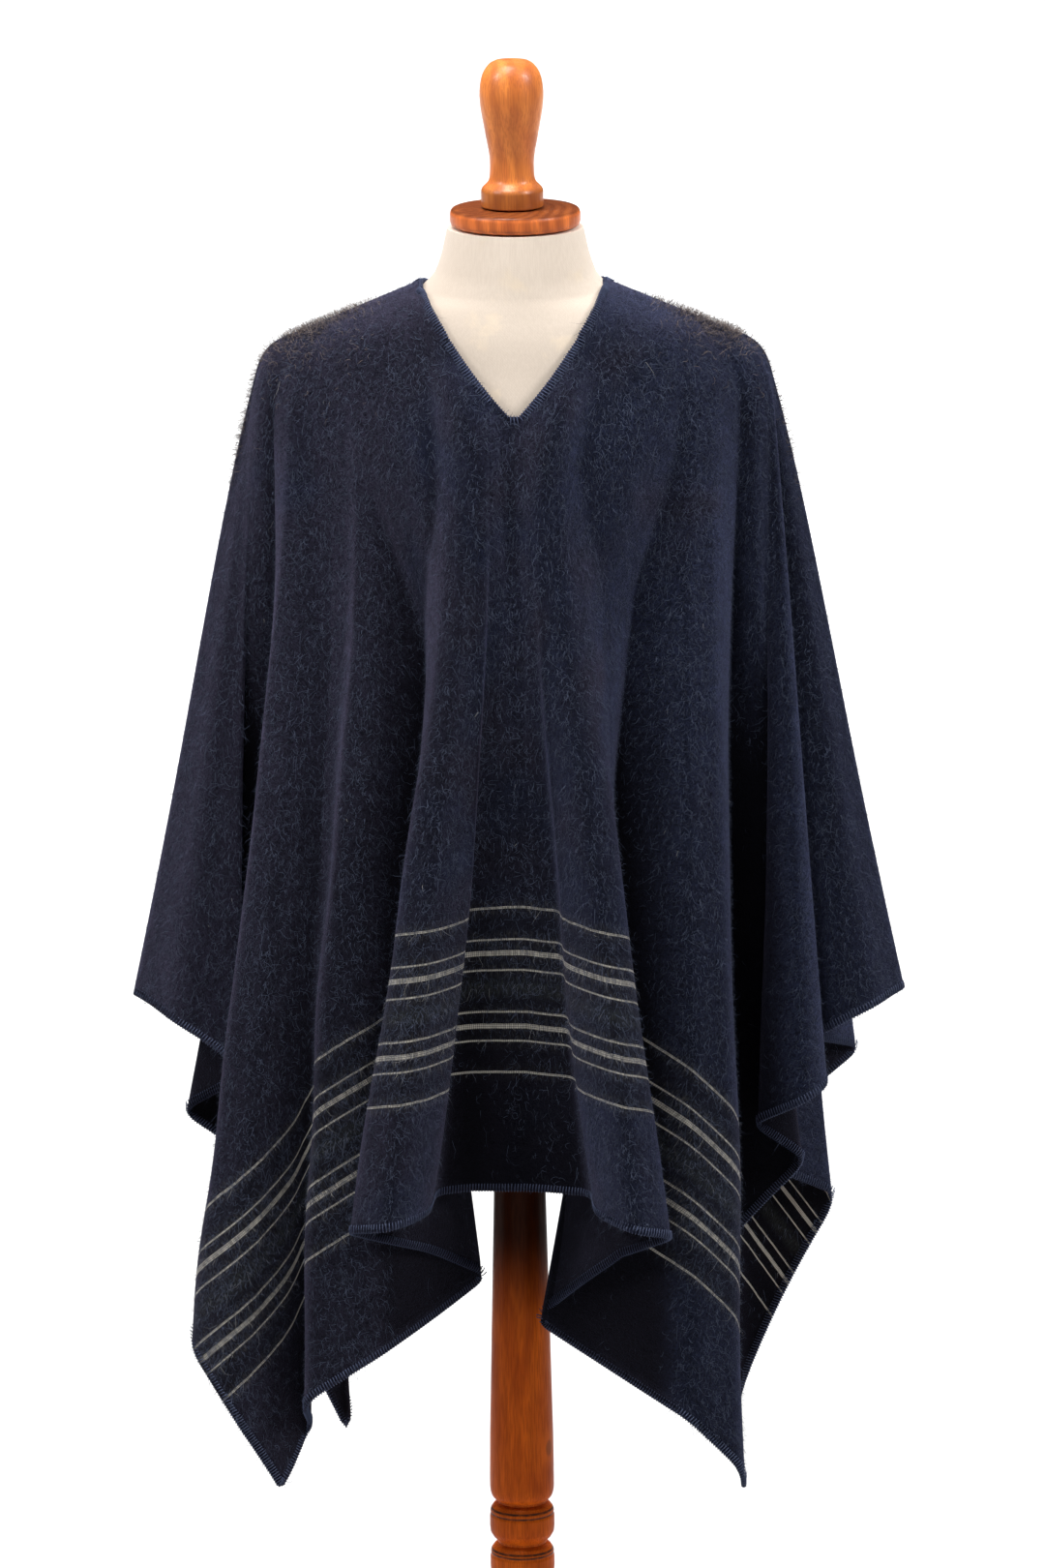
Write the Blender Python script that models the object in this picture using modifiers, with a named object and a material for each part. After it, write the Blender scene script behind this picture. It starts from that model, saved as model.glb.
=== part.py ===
"""Andean poncho of brushed navy alpaca, draped on a limbless dress form with a turned wooden stand.

Metres, +Z up. The origin is the middle of the stand's foot, on the floor. The wearer's front faces -Y.
The cloth is one woven length, folded at the shoulders: u runs out from the middle to a side edge and
v down from the shoulder fold to a hem. It hangs in straight runs that fan out from the shoulders, and
each fold table below gives the runs where it turns.
"""

import math

import bmesh
import bpy
import numpy as np
from mathutils import Vector

# Cloth
CLOTH_WIDTH = 1.60  # side edge to side edge
CLOTH_LENGTH = 1.63  # front hem to back hem
CLOTH_WALL = 0.0022
HALF_WIDTH = CLOTH_WIDTH / 2
HALF_LENGTH = CLOTH_LENGTH / 2
PART_GAP = 0.0003  # between neighbouring solids

# Neck opening, cut on the flat cloth
NECK_HALF = 0.080  # along the shoulder fold
SLIT_HALF = 0.008  # squared end of the V
SLIT_FRONT = 0.140
SLIT_BACK = 0.085
FOOT_FRONT = Vector((0.008, -0.0985, 1.343))  # where the V ends on the chest
FOOT_BACK = Vector((0.008, 0.080, 1.426))  # where it ends below the nape

# Shoulder fold, in space
NECK_POINT = Vector((0.0772, 0.0, 1.4445))
SHOULDER_SLOPE = math.radians(22.5)
SHOULDER_RUN = 0.118  # cloth from neck point to the end of the shoulder

# How each run turns from lying on the shoulder to hanging
NECK_LEAN = 20.0  # grain angle of the run at the neck point, degrees
TURN_SHOULDER = 0.110
TURN_SIDE = 0.045
TURN_FOOT = 0.060
TOP_PITCH = 15.0  # slope at which cloth leaves the shoulder fold, degrees
FOOT_PITCH = 72.0  # and the end of the V

# Rows of each run: share of the turn, then share of the hang
TURN_ROWS = (0.0, 0.25, 0.5, 0.75, 1.0)
HANG_ROWS = (0.05, 0.11, 0.18, 0.27, 0.38, 0.54, 0.76, 1.0)

# Fold tables. grain: angle of the run to the middle line on the flat cloth, degrees.
# out, ahead: where that run reaches the hem or side edge, sideways from the middle and away from y = 0.
FOLD_COLUMNS = ("grain", "out", "ahead")
FRONT_LEFT = (
    (0.0, 0.007, 0.092),
    (4.0, 0.070, 0.100),
    (8.0, 0.079, 0.160),
    (13.5, 0.147, 0.168),
    (24.5, 0.028, 0.054),
    (33.5, 0.187, 0.136),
    (35.4, 0.176, 0.098),
    (38.2, 0.199, 0.122),
    (44.5, 0.285, 0.115),
    (52.0, 0.190, 0.045),
    (59.5, 0.292, 0.088),
    (70.0, 0.235, 0.012),
    (82.0, 0.290, 0.050),
    (90.0, 0.331, 0.0),
)
FRONT_RIGHT = (
    (0.0, 0.007, 0.092),
    (3.5, 0.057, 0.098),
    (8.2, 0.066, 0.156),
    (15.0, 0.129, 0.168),
    (29.0, 0.012, 0.054),
    (37.8, 0.192, 0.140),
    (40.5, 0.186, 0.105),
    (47.0, 0.150, 0.035),
    (54.7, 0.247, 0.074),
    (59.5, 0.196, 0.018),
    (64.7, 0.266, 0.062),
    (80.0, 0.254, -0.058),
    (90.0, 0.332, 0.0),
)
BACK_LEFT = (
    (0.0, 0.007, 0.158),
    (7.0, 0.078, 0.198),
    (13.0, 0.035, 0.110),
    (21.0, 0.152, 0.194),
    (28.0, 0.108, 0.092),
    (33.5, 0.176, 0.148),
    (38.3, 0.150, 0.092),
    (45.0, 0.236, 0.129),
    (52.0, 0.175, 0.030),
    (60.0, 0.264, 0.086),
    (71.0, 0.215, 0.008),
    (81.0, 0.288, 0.056),
    (90.0, 0.331, 0.0),
)
BACK_RIGHT = (
    (0.0, 0.007, 0.158),
    (5.0, 0.052, 0.122),
    (11.5, 0.106, 0.198),
    (15.0, 0.084, 0.142),
    (18.5, 0.138, 0.190),
    (22.5, 0.102, 0.098),
    (28.0, 0.174, 0.176),
    (33.0, 0.165, 0.100),
    (38.6, 0.190, 0.142),
    (48.5, 0.281, 0.120),
    (53.5, 0.190, 0.062),
    (66.0, 0.306, 0.104),
    (78.0, 0.314, 0.040),
    (90.0, 0.332, 0.0),
)
# Where runs would hang with no folds; the folds grow away from this towards the edge.
TREND = (
    (0.0, 0.007, 0.100),
    (20.0, 0.085, 0.135),
    (40.0, 0.195, 0.120),
    (65.0, 0.270, 0.060),
    (90.0, 0.331, 0.0),
)
FOLD_GROWTH = 1.25
SIDE_BOW = 0.006  # how far the side runs swing outward mid length
CREASE_ROUND = 0.022  # how far a fold's bend reaches each way

# Dress form: level, half width, depth in front, depth behind
FORM_COLUMNS = ("z", "half_width", "front", "back")
FORM_SECTIONS = (
    (0.900, 0.124, 0.052, 0.066),
    (0.912, 0.136, 0.062, 0.076),
    (0.945, 0.143, 0.068, 0.082),
    (1.020, 0.136, 0.070, 0.080),
    (1.090, 0.122, 0.074, 0.076),
    (1.170, 0.132, 0.086, 0.080),
    (1.250, 0.152, 0.100, 0.088),
    (1.310, 0.168, 0.101, 0.093),
    (1.350, 0.175, 0.092, 0.092),
    (1.375, 0.177, 0.083, 0.087),
    (1.392, 0.172, 0.078, 0.082),
    (1.407, 0.153, 0.073, 0.077),
    (1.422, 0.116, 0.066, 0.072),
    (1.436, 0.0815, 0.0610, 0.0680),
    (1.450, 0.0685, 0.0585, 0.0650),
    (1.468, 0.0625, 0.0570, 0.0610),
    (1.4945, 0.0570, 0.0550, 0.0570),
)
FORM_POWER = 2.25
CLOTH_CLEAR = 0.0032  # mid wall to form where the cloth lies on it
CLOTH_LIFT = 0.0030  # the same between neighbouring points

# Turned wood
CAP_RADIUS = 0.0552
CAP_HEIGHT = 0.0115
POLE_FOOT = 0.030


def rows(table, columns):
    """The table's rows as dictionaries."""
    return [dict(zip(columns, row)) for row in table]


def smooth(t):
    t = min(max(t, 0.0), 1.0)
    return t * t * (3 - 2 * t)


# --- Form ---------------------------------------------------------------------------------------


def form_section(z):
    """Half width, front depth and back depth at a level, eased between the table's rows."""
    table = rows(FORM_SECTIONS, FORM_COLUMNS)
    z = min(max(z, table[0]["z"]), table[-1]["z"])
    for k in range(len(table) - 1):
        if z <= table[k + 1]["z"]:
            break
    near = [table[max(k - 1, 0)], table[k], table[k + 1], table[min(k + 2, len(table) - 1)]]
    t = (z - near[1]["z"]) / (near[2]["z"] - near[1]["z"])
    sizes = []
    for name in FORM_COLUMNS[1:]:
        a, b, c, d = (row[name] for row in near)
        step = near[2]["z"] - near[1]["z"]
        rise_b = step * (c - a) / (near[2]["z"] - near[0]["z"] or step)
        rise_c = step * (d - b) / (near[3]["z"] - near[1]["z"] or step)
        sizes.append(
            (2 * t**3 - 3 * t**2 + 1) * b
            + (t**3 - 2 * t**2 + t) * rise_b
            + (3 * t**2 - 2 * t**3) * c
            + (t**3 - t**2) * rise_c
        )
    return sizes


def form_point(z, angle):
    half_width, front, back = form_section(z)
    c, s = math.cos(angle), math.sin(angle)
    depth = back if s > 0 else front
    x = half_width * math.copysign(abs(c) ** (2 / FORM_POWER), c)
    y = depth * math.copysign(abs(s) ** (2 / FORM_POWER), s)
    return (x, y, z)


def form_level(point):
    """How far outside the form a point lies, as a share: 0 on its surface."""
    half_width, front, back = form_section(point.z)
    depth = back if point.y > 0 else front
    return (abs(point.x / half_width) ** FORM_POWER + abs(point.y / depth) ** FORM_POWER) ** (
        1 / FORM_POWER
    ) - 1


def clear_of_form(point, clear=CLOTH_CLEAR):
    """The point, moved out to lie clear of the form where it would sink in."""
    bottom, top = FORM_SECTIONS[0][0], FORM_SECTIONS[-1][0]
    step = 0.0005
    for _ in range(6):
        if not bottom - 0.02 < point.z < top:
            break
        level = form_level(point)
        slope = Vector(
            [
                form_level(point + Vector([step * (axis == i) for i in range(3)])) - level
                for axis in range(3)
            ]
        ) / step
        distance = level / max(slope.length, 1e-6)
        short = clear - distance
        if short < 1e-5:
            break
        point = point + slope.normalized() * min(short, 0.02)
    return point


# --- Cloth --------------------------------------------------------------------------------------


def flat_start(grain, slit):
    """Where a run starts on the flat cloth: on the neck's edge, then on the shoulder fold."""
    if grain < NECK_LEAN:
        share = grain / NECK_LEAN
        return SLIT_HALF + (NECK_HALF - SLIT_HALF) * share, slit * (1 - share)
    share = (grain - NECK_LEAN) / (90 - NECK_LEAN)
    return NECK_HALF + SHOULDER_RUN * (0.95 * (1 - (1 - share) ** 3) + 0.05 * share), 0.0


def flat_length(grain, u, v):
    """Flat length of a run from (u, v) to the hem or the side edge."""
    lean = math.radians(grain)
    to_hem = (HALF_LENGTH - v) / max(math.cos(lean), 1e-6)
    to_side = (HALF_WIDTH - u) / max(math.sin(lean), 1e-6)
    return min(to_hem, to_side)


def run_start(grain, face):
    """Start of a right-hand run in space, the direction that it sets out in, and how long it turns."""
    slit, foot = (SLIT_FRONT, FOOT_FRONT) if face < 0 else (SLIT_BACK, FOOT_BACK)
    u, v = flat_start(grain, slit)
    lean = math.radians(grain)
    along = Vector((math.cos(SHOULDER_SLOPE), 0, -math.sin(SHOULDER_SLOPE)))
    if grain < NECK_LEAN:
        share = grain / NECK_LEAN
        bow = Vector((0.057, foot.y, NECK_POINT.z + 0.42 * (foot.z - NECK_POINT.z)))
        start = (1 - share) ** 2 * foot + 2 * share * (1 - share) * bow + share**2 * NECK_POINT
        pitch = math.radians(FOOT_PITCH + (TOP_PITCH - FOOT_PITCH) * share)
        turn = TURN_FOOT + (TURN_SHOULDER - TURN_FOOT) * share
    else:
        start = NECK_POINT + (u - NECK_HALF) * along
        pitch = math.radians(TOP_PITCH)
        turn = TURN_SHOULDER + (TURN_SIDE - TURN_SHOULDER) * smooth((grain - 45) / 45)
    ahead = Vector((0, face * math.cos(pitch), -math.sin(pitch)))
    set_out = (math.sin(lean) * along + math.cos(lean) * ahead).normalized()
    return start, set_out, turn


def turned(set_out, hang, turn, share):
    """Place along the turn, from its start: the direction swings evenly from set_out to hang."""
    steps = 12
    place = Vector((0, 0, 0))
    for i in range(steps):
        mix = smooth(share * (i + 0.5) / steps)
        place += ((1 - mix) * set_out + mix * hang).normalized() * (turn * share / steps)
    return place


def run_shape(grain, out, ahead, face, length):
    """The run's bend and its hanging direction, so that its far end comes over (out, ahead)."""
    start, set_out, turn = run_start(grain, face)
    goal = Vector((out, face * ahead, 0))
    hang = Vector((0, 0, -1))
    for _ in range(8):
        reach = goal - start - turned(set_out, hang, turn, 1.0)
        lean_x, lean_y = reach.x / (length - turn), reach.y / (length - turn)
        hang = Vector((lean_x, lean_y, -math.sqrt(max(1 - lean_x**2 - lean_y**2, 0.01))))
    return start, set_out, turn, hang


def trend(grain):
    """Out and ahead of the edge of a run if the cloth had no folds."""
    table = [dict(zip(FOLD_COLUMNS, row)) for row in TREND]
    angles = [row["grain"] for row in table]
    return [float(np.interp(grain, angles, [row[name] for row in table])) for name in FOLD_COLUMNS[1:]]


def run_points(grain, out, ahead, side, face):
    """A run's points from top to edge, mid wall, with the cloth's own (u, v) for each."""
    slit = SLIT_FRONT if face < 0 else SLIT_BACK
    u, v = flat_start(grain, slit)
    length = flat_length(grain, u, v)
    start, set_out, turn, hang = run_shape(grain, out, ahead, face, length)
    edge = start + turned(set_out, hang, turn, 1.0) + hang * (length - turn)
    start, set_out, turn, hang = run_shape(grain, *trend(grain), face, length)
    bend = start + turned(set_out, hang, turn, 1.0)
    plain_edge = bend + hang * (length - turn)
    points, cloth = [], []
    for share in TURN_ROWS:
        points.append(start + turned(set_out, hang, turn, share))
        cloth.append(turn * share)
    for share in HANG_ROWS:
        points.append(bend + hang * (length - turn) * share)
        cloth.append(turn + (length - turn) * share)
    folds_from = turn / 2
    for point, along in zip(points, cloth):
        grown = max(along - folds_from, 0) / (length - folds_from)
        point += (edge - plain_edge) * grown**FOLD_GROWTH
        point.x += SIDE_BOW * smooth((grain - 62) / 28) * math.sin(math.pi * along / length)
    points = [clear_of_form(point) for point in points]
    if grain >= NECK_LEAN:
        points[0].y = 0.0
    mirror = Vector((side, 1, 1))
    points = [point * mirror for point in points]
    lean = math.radians(grain)
    uv = [(side * (u + r * math.sin(lean)), v + r * math.cos(lean)) for r in cloth]
    return points, uv


def fold_line(table, per_segment):
    """Runs between the table's rows, each row's fold rounded, and one run at the neck point:
    (grain, out, ahead) for each column."""
    knots = [np.array(row, float) for row in table]
    columns = [knots[0]]
    for k in range(1, len(knots)):
        before, after = knots[k - 1], knots[k]
        width = np.hypot(*(after - before)[1:])
        share = min(0.34, CREASE_ROUND / max(width, 1e-6))
        first = share if k > 1 else 0.0
        last = 1 - share if k < len(knots) - 1 else 1.0
        for i in range(per_segment + 1):
            t = first + (last - first) * i / per_segment
            if k == 1 and i == 0:
                continue
            columns.append(before + (after - before) * t)
        if k < len(knots) - 1:
            beyond = knots[k + 1]
            width = np.hypot(*(beyond - after)[1:])
            ahead_share = min(0.34, CREASE_ROUND / max(width, 1e-6))
            a = after + (before - after) * share
            b = after + (beyond - after) * ahead_share
            columns.append(0.25 * a + 0.5 * after + 0.25 * b)
    past = next(k for k, column in enumerate(columns) if column[0] > NECK_LEAN)
    near, far = columns[past - 1], columns[past]
    columns.insert(past, near + (far - near) * (NECK_LEAN - near[0]) / (far[0] - near[0]))
    return [tuple(float(value) for value in column) for column in columns]


def cloth_face(face, left, right, per_segment):
    """Columns of one face of the cloth, from its left side edge round to its right one."""
    grid, uv = [], []
    for side, table in ((-1, left), (1, right)):
        half = [run_points(*column, side, face) for column in fold_line(table, per_segment)]
        if side < 0:
            half.reverse()
        grid += [column[0] for column in half]
        uv += [column[1] for column in half]
    return grid, uv


def lift_clear(places):
    """Moves points out where the cloth between them would sink into the form. The shoulder fold stays."""
    count, depth = places.shape[:2]
    for _ in range(4):
        for i in range(count):
            for j in range(depth):
                for m, n in ((i + 1, j), (i, j + 1), (i + 1, j + 1)):
                    if m >= count or n >= depth:
                        continue
                    middle = Vector((places[i, j] + places[m, n]) / 2)
                    out = np.array(clear_of_form(middle, CLOTH_LIFT) - middle)
                    for k, row in ((i, j), (m, n)):
                        if 0 < k < count - 1 and abs(places[k, row, 1]) > 1e-6:
                            places[k, row] += out
    return places


def panel_normals(places, face):
    """A mean normal at each point of one face, away from the form."""
    across = np.gradient(places, axis=0)
    down = np.gradient(places, axis=1)
    return unit(np.cross(across, down) * face)


def unit(vectors):
    return vectors / np.linalg.norm(vectors, axis=-1, keepdims=True)


def meet_at_side(places, normals):
    """Gives both faces one normal along the two side runs and the shoulder fold, so that they meet
    end to end, and returns each face's small step back from there, which parts them."""
    steps = [np.zeros_like(place) for place in places]
    for i in (0, -1):
        shared = unit(normals[0][i] + normals[1][i])
        down = unit(np.gradient(places[0][i], axis=0))
        for k, face in enumerate((-1, 1)):
            beside = places[k][1 if i == 0 else -2] - places[k][i]
            away = unit(np.cross(shared, down))
            away *= np.sign(np.sum(away * beside, axis=1, keepdims=True))
            normals[k][i] = shared
            steps[k][i] = away
    for k, face in enumerate((-1, 1)):
        for i in range(len(places[k])):
            x, y = places[k][i][0][:2]
            if abs(y) < 1e-6:
                side = math.copysign(1, x)
                normals[k][i][0] = (side * math.sin(SHOULDER_SLOPE), 0, math.cos(SHOULDER_SLOPE))
                steps[k][i][0] = (0, face, 0)
    return [step * PART_GAP / 2 for step in steps]


def material(name, colour, roughness):
    made = bpy.data.materials.new(name)
    made.use_nodes = True
    shader = made.node_tree.nodes["Principled BSDF"]
    shader.inputs["Base Color"].default_value = (*colour, 1)
    shader.inputs["Roughness"].default_value = roughness
    shader.inputs["Metallic"].default_value = 0.0
    return made


def add_object(name, mesh, collection, finish):
    node = bpy.data.objects.new(name, mesh)
    collection.objects.link(node)
    mesh.materials.append(finish)
    return node


def walled_cloth(name, places, normals, collection, finish):
    """One face of the poncho as a closed wall: outer skin, inner skin and the edges between."""
    outer = places + normals * CLOTH_WALL / 2
    inner = places - normals * CLOTH_WALL / 2
    count, depth = places.shape[:2]
    shell = bmesh.new()
    skins = [[[shell.verts.new(point) for point in column] for column in skin] for skin in (outer, inner)]
    for i in range(count - 1):
        for j in range(depth - 1):
            for skin in skins:
                a, b, c, d = skin[i][j], skin[i + 1][j], skin[i + 1][j + 1], skin[i][j + 1]
                for corners in ((a, b, c), (a, c, d)):
                    shell.faces.new(corners if skin is skins[1] else corners[::-1])
    rim = [(i, 0) for i in range(count)] + [(count - 1, j) for j in range(1, depth)]
    rim += [(i, depth - 1) for i in range(count - 2, -1, -1)] + [(0, j) for j in range(depth - 2, 0, -1)]
    for (i, j), (m, n) in zip(rim, rim[1:] + rim[:1]):
        shell.faces.new((skins[0][i][j], skins[0][m][n], skins[1][m][n], skins[1][i][j]))
    bmesh.ops.recalc_face_normals(shell, faces=shell.faces)
    bmesh.ops.triangulate(shell, faces=shell.faces)
    mesh = bpy.data.meshes.new(name)
    shell.to_mesh(mesh)
    shell.free()
    mesh.shade_smooth()
    return add_object(name, mesh, collection, finish)


def poncho(collection, colour):
    """The draped cloth: its front and back, parted along the shoulder fold and the side runs."""
    faces = (("poncho_front", -1, FRONT_LEFT, FRONT_RIGHT), ("poncho_back", 1, BACK_LEFT, BACK_RIGHT))
    places = []
    for _, face, left, right in faces:
        grid, _ = cloth_face(face, left, right, per_segment=2)
        places.append(lift_clear(np.array([[tuple(point) for point in column] for column in grid])))
    normals = [panel_normals(place, faces[k][1]) for k, place in enumerate(places)]
    steps = meet_at_side(places, normals)
    for k, (name, *_) in enumerate(faces):
        finish = material("navy_" + name, colour, 0.9)
        walled_cloth(name, places[k] + steps[k], normals[k], collection, finish)


def dress_form(collection, finish):
    """Covered torso and neck: a loft through level sections, flat at its bottom and neck."""
    around = 32
    levels = []
    table = rows(FORM_SECTIONS, FORM_COLUMNS)
    for below, above in zip(table, table[1:]):
        steps = max(1, round((above["z"] - below["z"]) / 0.035))
        levels += [below["z"] + (above["z"] - below["z"]) * i / steps for i in range(steps)]
    levels.append(table[-1]["z"])
    shell = bmesh.new()
    rings = [
        [shell.verts.new(form_point(z, math.tau * i / around)) for i in range(around)]
        for z in levels
    ]
    for low, high in zip(rings, rings[1:]):
        for i in range(around):
            j = (i + 1) % around
            shell.faces.new((low[i], low[j], high[j], high[i]))
    shell.faces.new(rings[0][::-1])
    shell.faces.new(rings[-1])
    bmesh.ops.recalc_face_normals(shell, faces=shell.faces)
    mesh = bpy.data.meshes.new("form_body")
    shell.to_mesh(mesh)
    shell.free()
    mesh.shade_smooth()
    return add_object("form_body", mesh, collection, finish)


def turned_piece(name, profile, steps, collection, finish):
    """A turned solid: profile is (radius, height) down the outer side, from axis to axis."""
    mesh = bpy.data.meshes.new(name)
    mesh.from_pydata([(r, 0, z) for r, z in profile], [(i, i + 1) for i in range(len(profile) - 1)], [])
    node = add_object(name, mesh, collection, finish)
    screw = node.modifiers.new("turn", "SCREW")
    screw.steps = screw.render_steps = steps
    screw.use_merge_vertices = True
    screw.merge_threshold = 0.00001
    return node


def arc(centre_r, centre_z, radius, start, end, count):
    """Points of a profile's round stretch, angles in degrees from the outward direction."""
    angles = [math.radians(start + (end - start) * i / (count - 1)) for i in range(count)]
    return [(centre_r + radius * math.cos(a), centre_z + radius * math.sin(a)) for a in angles]


def eased(points, count):
    """A smooth profile through a few (radius, height) points."""
    knots = np.array([points[0], *points, points[-1]], float)
    line = []
    for k in range(1, len(knots) - 2):
        a, b, c, d = knots[k - 1 : k + 3]
        for i in range(count):
            t = i / count
            line.append(
                0.5
                * (2 * b + (c - a) * t + (2 * a - 5 * b + 4 * c - d) * t**2 + (3 * b - a - 3 * c + d) * t**3)
            )
    return [tuple(point) for point in line] + [tuple(points[-1])]


def neck_cap(collection, finish):
    bottom = FORM_SECTIONS[-1][0] + PART_GAP
    half = CAP_HEIGHT / 2
    rim = arc(CAP_RADIUS - half, bottom + half, half, 90, -90, 7)
    profile = [(0, bottom + CAP_HEIGHT), *rim, (0, bottom)]
    return turned_piece("neck_cap", profile, 36, collection, finish)


def finial(collection, finish):
    bottom = FORM_SECTIONS[-1][0] + CAP_HEIGHT + 2 * PART_GAP
    ring = arc(0.0264 - 0.0060, bottom + 0.0085, 0.0085, 70, -70, 6)
    stem = eased(
        (
            (0.0135, 0.1315),
            (0.0200, 0.1300),
            (0.0252, 0.1200),
            (0.0270, 0.1010),
            (0.0262, 0.0800),
            (0.0225, 0.0560),
            (0.0189, 0.0380),
            (0.0192, 0.0290),
            (0.0222, 0.0215),
            (0.0226, 0.0185),
        ),
        2,
    )
    profile = [(0, bottom + 0.1315)] + [(r, bottom + z) for r, z in stem]
    profile += [(r, z) for r, z in ring] + [(0.0225, bottom), (0, bottom)]
    return turned_piece("finial", profile, 24, collection, finish)


def bead(radius, middle, height, groove):
    """A turned bead between two grooves."""
    return [
        (groove, middle + height / 2),
        *arc(radius - height / 2.6, middle, height / 2.6, 66, -66, 5),
        (groove, middle - height / 2),
    ]


def pole(collection, finish):
    top = FORM_SECTIONS[0][0] - PART_GAP
    profile = [(0, top), (0.0180, top), (0.0225, 0.645), (0.0254, 0.520), (0.0276, 0.425)]
    profile += eased(((0.0280, 0.385), (0.0279, 0.374), (0.0262, 0.367), (0.0212, 0.363)), 2)
    profile += bead(0.0282, 0.347, 0.026, 0.0210)
    profile += bead(0.0280, 0.309, 0.034, 0.0205)
    profile += [(0.0222, 0.286), (0.0236, 0.270), (0.0250, 0.150), (0.0262, 0.062)]
    profile += [(0.0310, 0.052), (0.0360, 0.046), (0.0370, 0.040), (0.0360, POLE_FOOT + PART_GAP)]
    profile += [(0, POLE_FOOT + PART_GAP)]
    return turned_piece("pole", profile, 24, collection, finish)


def foot(collection, finish):
    """A plain round foot, flat below."""
    rim = arc(0.200 - 0.009, 0.012, 0.009, 60, -90, 6)
    profile = [(0, POLE_FOOT), (0.070, POLE_FOOT), (0.088, 0.0285), (0.150, 0.0245), *rim]
    profile += [(0.186, 0.0), (0, 0.0)]
    return turned_piece("foot", profile, 36, collection, finish)


def main():
    for left_over in list(bpy.data.objects):
        bpy.data.objects.remove(left_over, do_unlink=True)
    collection = bpy.data.collections.new("andean_poncho_on_dress_form")
    bpy.context.scene.collection.children.link(collection)
    navy = (0.018, 0.021, 0.048)
    poncho(collection, navy)
    dress_form(collection, material("linen_cover", (0.80, 0.76, 0.68), 0.85))
    wood = (0.42, 0.13, 0.035)
    neck_cap(collection, material("cap_wood", wood, 0.35))
    finial(collection, material("finial_wood", wood, 0.35))
    pole(collection, material("pole_wood", wood, 0.35))
    foot(collection, material("foot_wood", wood, 0.35))


main()
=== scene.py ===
import math

import bpy
import numpy as np
from mathutils import Matrix, Vector


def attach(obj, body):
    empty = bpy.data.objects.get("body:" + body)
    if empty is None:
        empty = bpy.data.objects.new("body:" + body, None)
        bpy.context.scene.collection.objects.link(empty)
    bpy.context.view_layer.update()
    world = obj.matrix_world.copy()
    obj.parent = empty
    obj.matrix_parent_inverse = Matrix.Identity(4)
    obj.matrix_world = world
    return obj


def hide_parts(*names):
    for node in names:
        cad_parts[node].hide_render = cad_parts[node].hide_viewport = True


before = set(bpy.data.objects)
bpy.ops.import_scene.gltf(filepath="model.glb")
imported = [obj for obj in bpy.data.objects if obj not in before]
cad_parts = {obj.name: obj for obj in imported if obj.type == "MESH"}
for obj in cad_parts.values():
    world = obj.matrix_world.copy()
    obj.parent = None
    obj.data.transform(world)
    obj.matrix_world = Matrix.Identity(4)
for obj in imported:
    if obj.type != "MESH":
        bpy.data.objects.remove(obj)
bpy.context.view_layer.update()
scene = bpy.context.scene

# ---------------------------------------------------------------- cloth sizes, metres
HALF_WIDTH = 0.80
HALF_LENGTH = 0.815
CLOTH_WALL = 0.0024
INNER_SHADE = 0.35
NECK_HALF, SLIT_HALF, SLIT_FRONT, SLIT_BACK = 0.080, 0.005, 0.140, 0.085
FOOT_FRONT = np.array((0.0045, -0.0985, 1.345))
FOOT_BACK = np.array((0.008, 0.080, 1.414))
NECK_POINT = np.array((0.0772, 0.0, 1.4445))
SHOULDER_SLOPE = math.radians(22.5)
SHOULDER_RUN = 0.118
NECK_LEAN = 20.0
TURN_CHEST, TURN_SHOULDER, TURN_SIDE, TURN_FOOT = 0.155, 0.110, 0.047, 0.060
TOP_PITCH, FOOT_PITCH = 15.0, 72.0
# grain where a turn's length starts to change, and over how many degrees
CHEST_CHANGE, SIDE_CHANGE = (30, 17), (45, 45)
# bow of the neck edge: how far out it swells, and its share of the edge's drop
BOW_FRONT, BOW_BACK = (0.057, 0.42), (0.076, 0.75)
FOLD_ROUND, FOLD_SHARE = 0.014, 0.42
COLUMN_STEP, GRAIN_STEP = 0.014, 1.6
TURN_ROWS = np.linspace(0, 1, 12)
HANG_ROWS = np.linspace(0, 1, 55)[1:]
CLOTH_CLEAR = 0.0032

# grain of each run in degrees, where it ends sideways from the middle and away from y = 0, and how
# the fold grows down the run: near 1 evenly, above 1 only towards the hem
FRONT_LEFT = (
    (0.0, 0.007, 0.096, 2.0),
    (2.6, 0.046, 0.086, 1.6),
    (4.2, 0.075, 0.094, 1.5),
    (7.0, 0.079, 0.144, 4.0),
    (9.2, 0.095, 0.164, 2.8),
    (11.0, 0.115, 0.174, 2.0),
    (13.5, 0.149, 0.150, 1.6),
    (24.5, 0.028, 0.054, 1.2),
    (30.0, 0.130, 0.126, 1.0),
    (33.2, 0.189, 0.126, 1.0),
    (35.4, 0.182, 0.080, 1.8),
    (38.2, 0.203, 0.100, 2.0),
    (41.8, 0.252, 0.122, 1.5),
    (44.5, 0.287, 0.098, 1.2),
    (52.0, 0.190, -0.002, 0.9),
    (59.5, 0.292, 0.004, 2.2),
    (67.0, 0.232, 0.046, 2.0),
    (79.0, 0.296, 0.036, 1.0),
    (90.0, 0.331, 0.0, 1.0),
)
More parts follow.
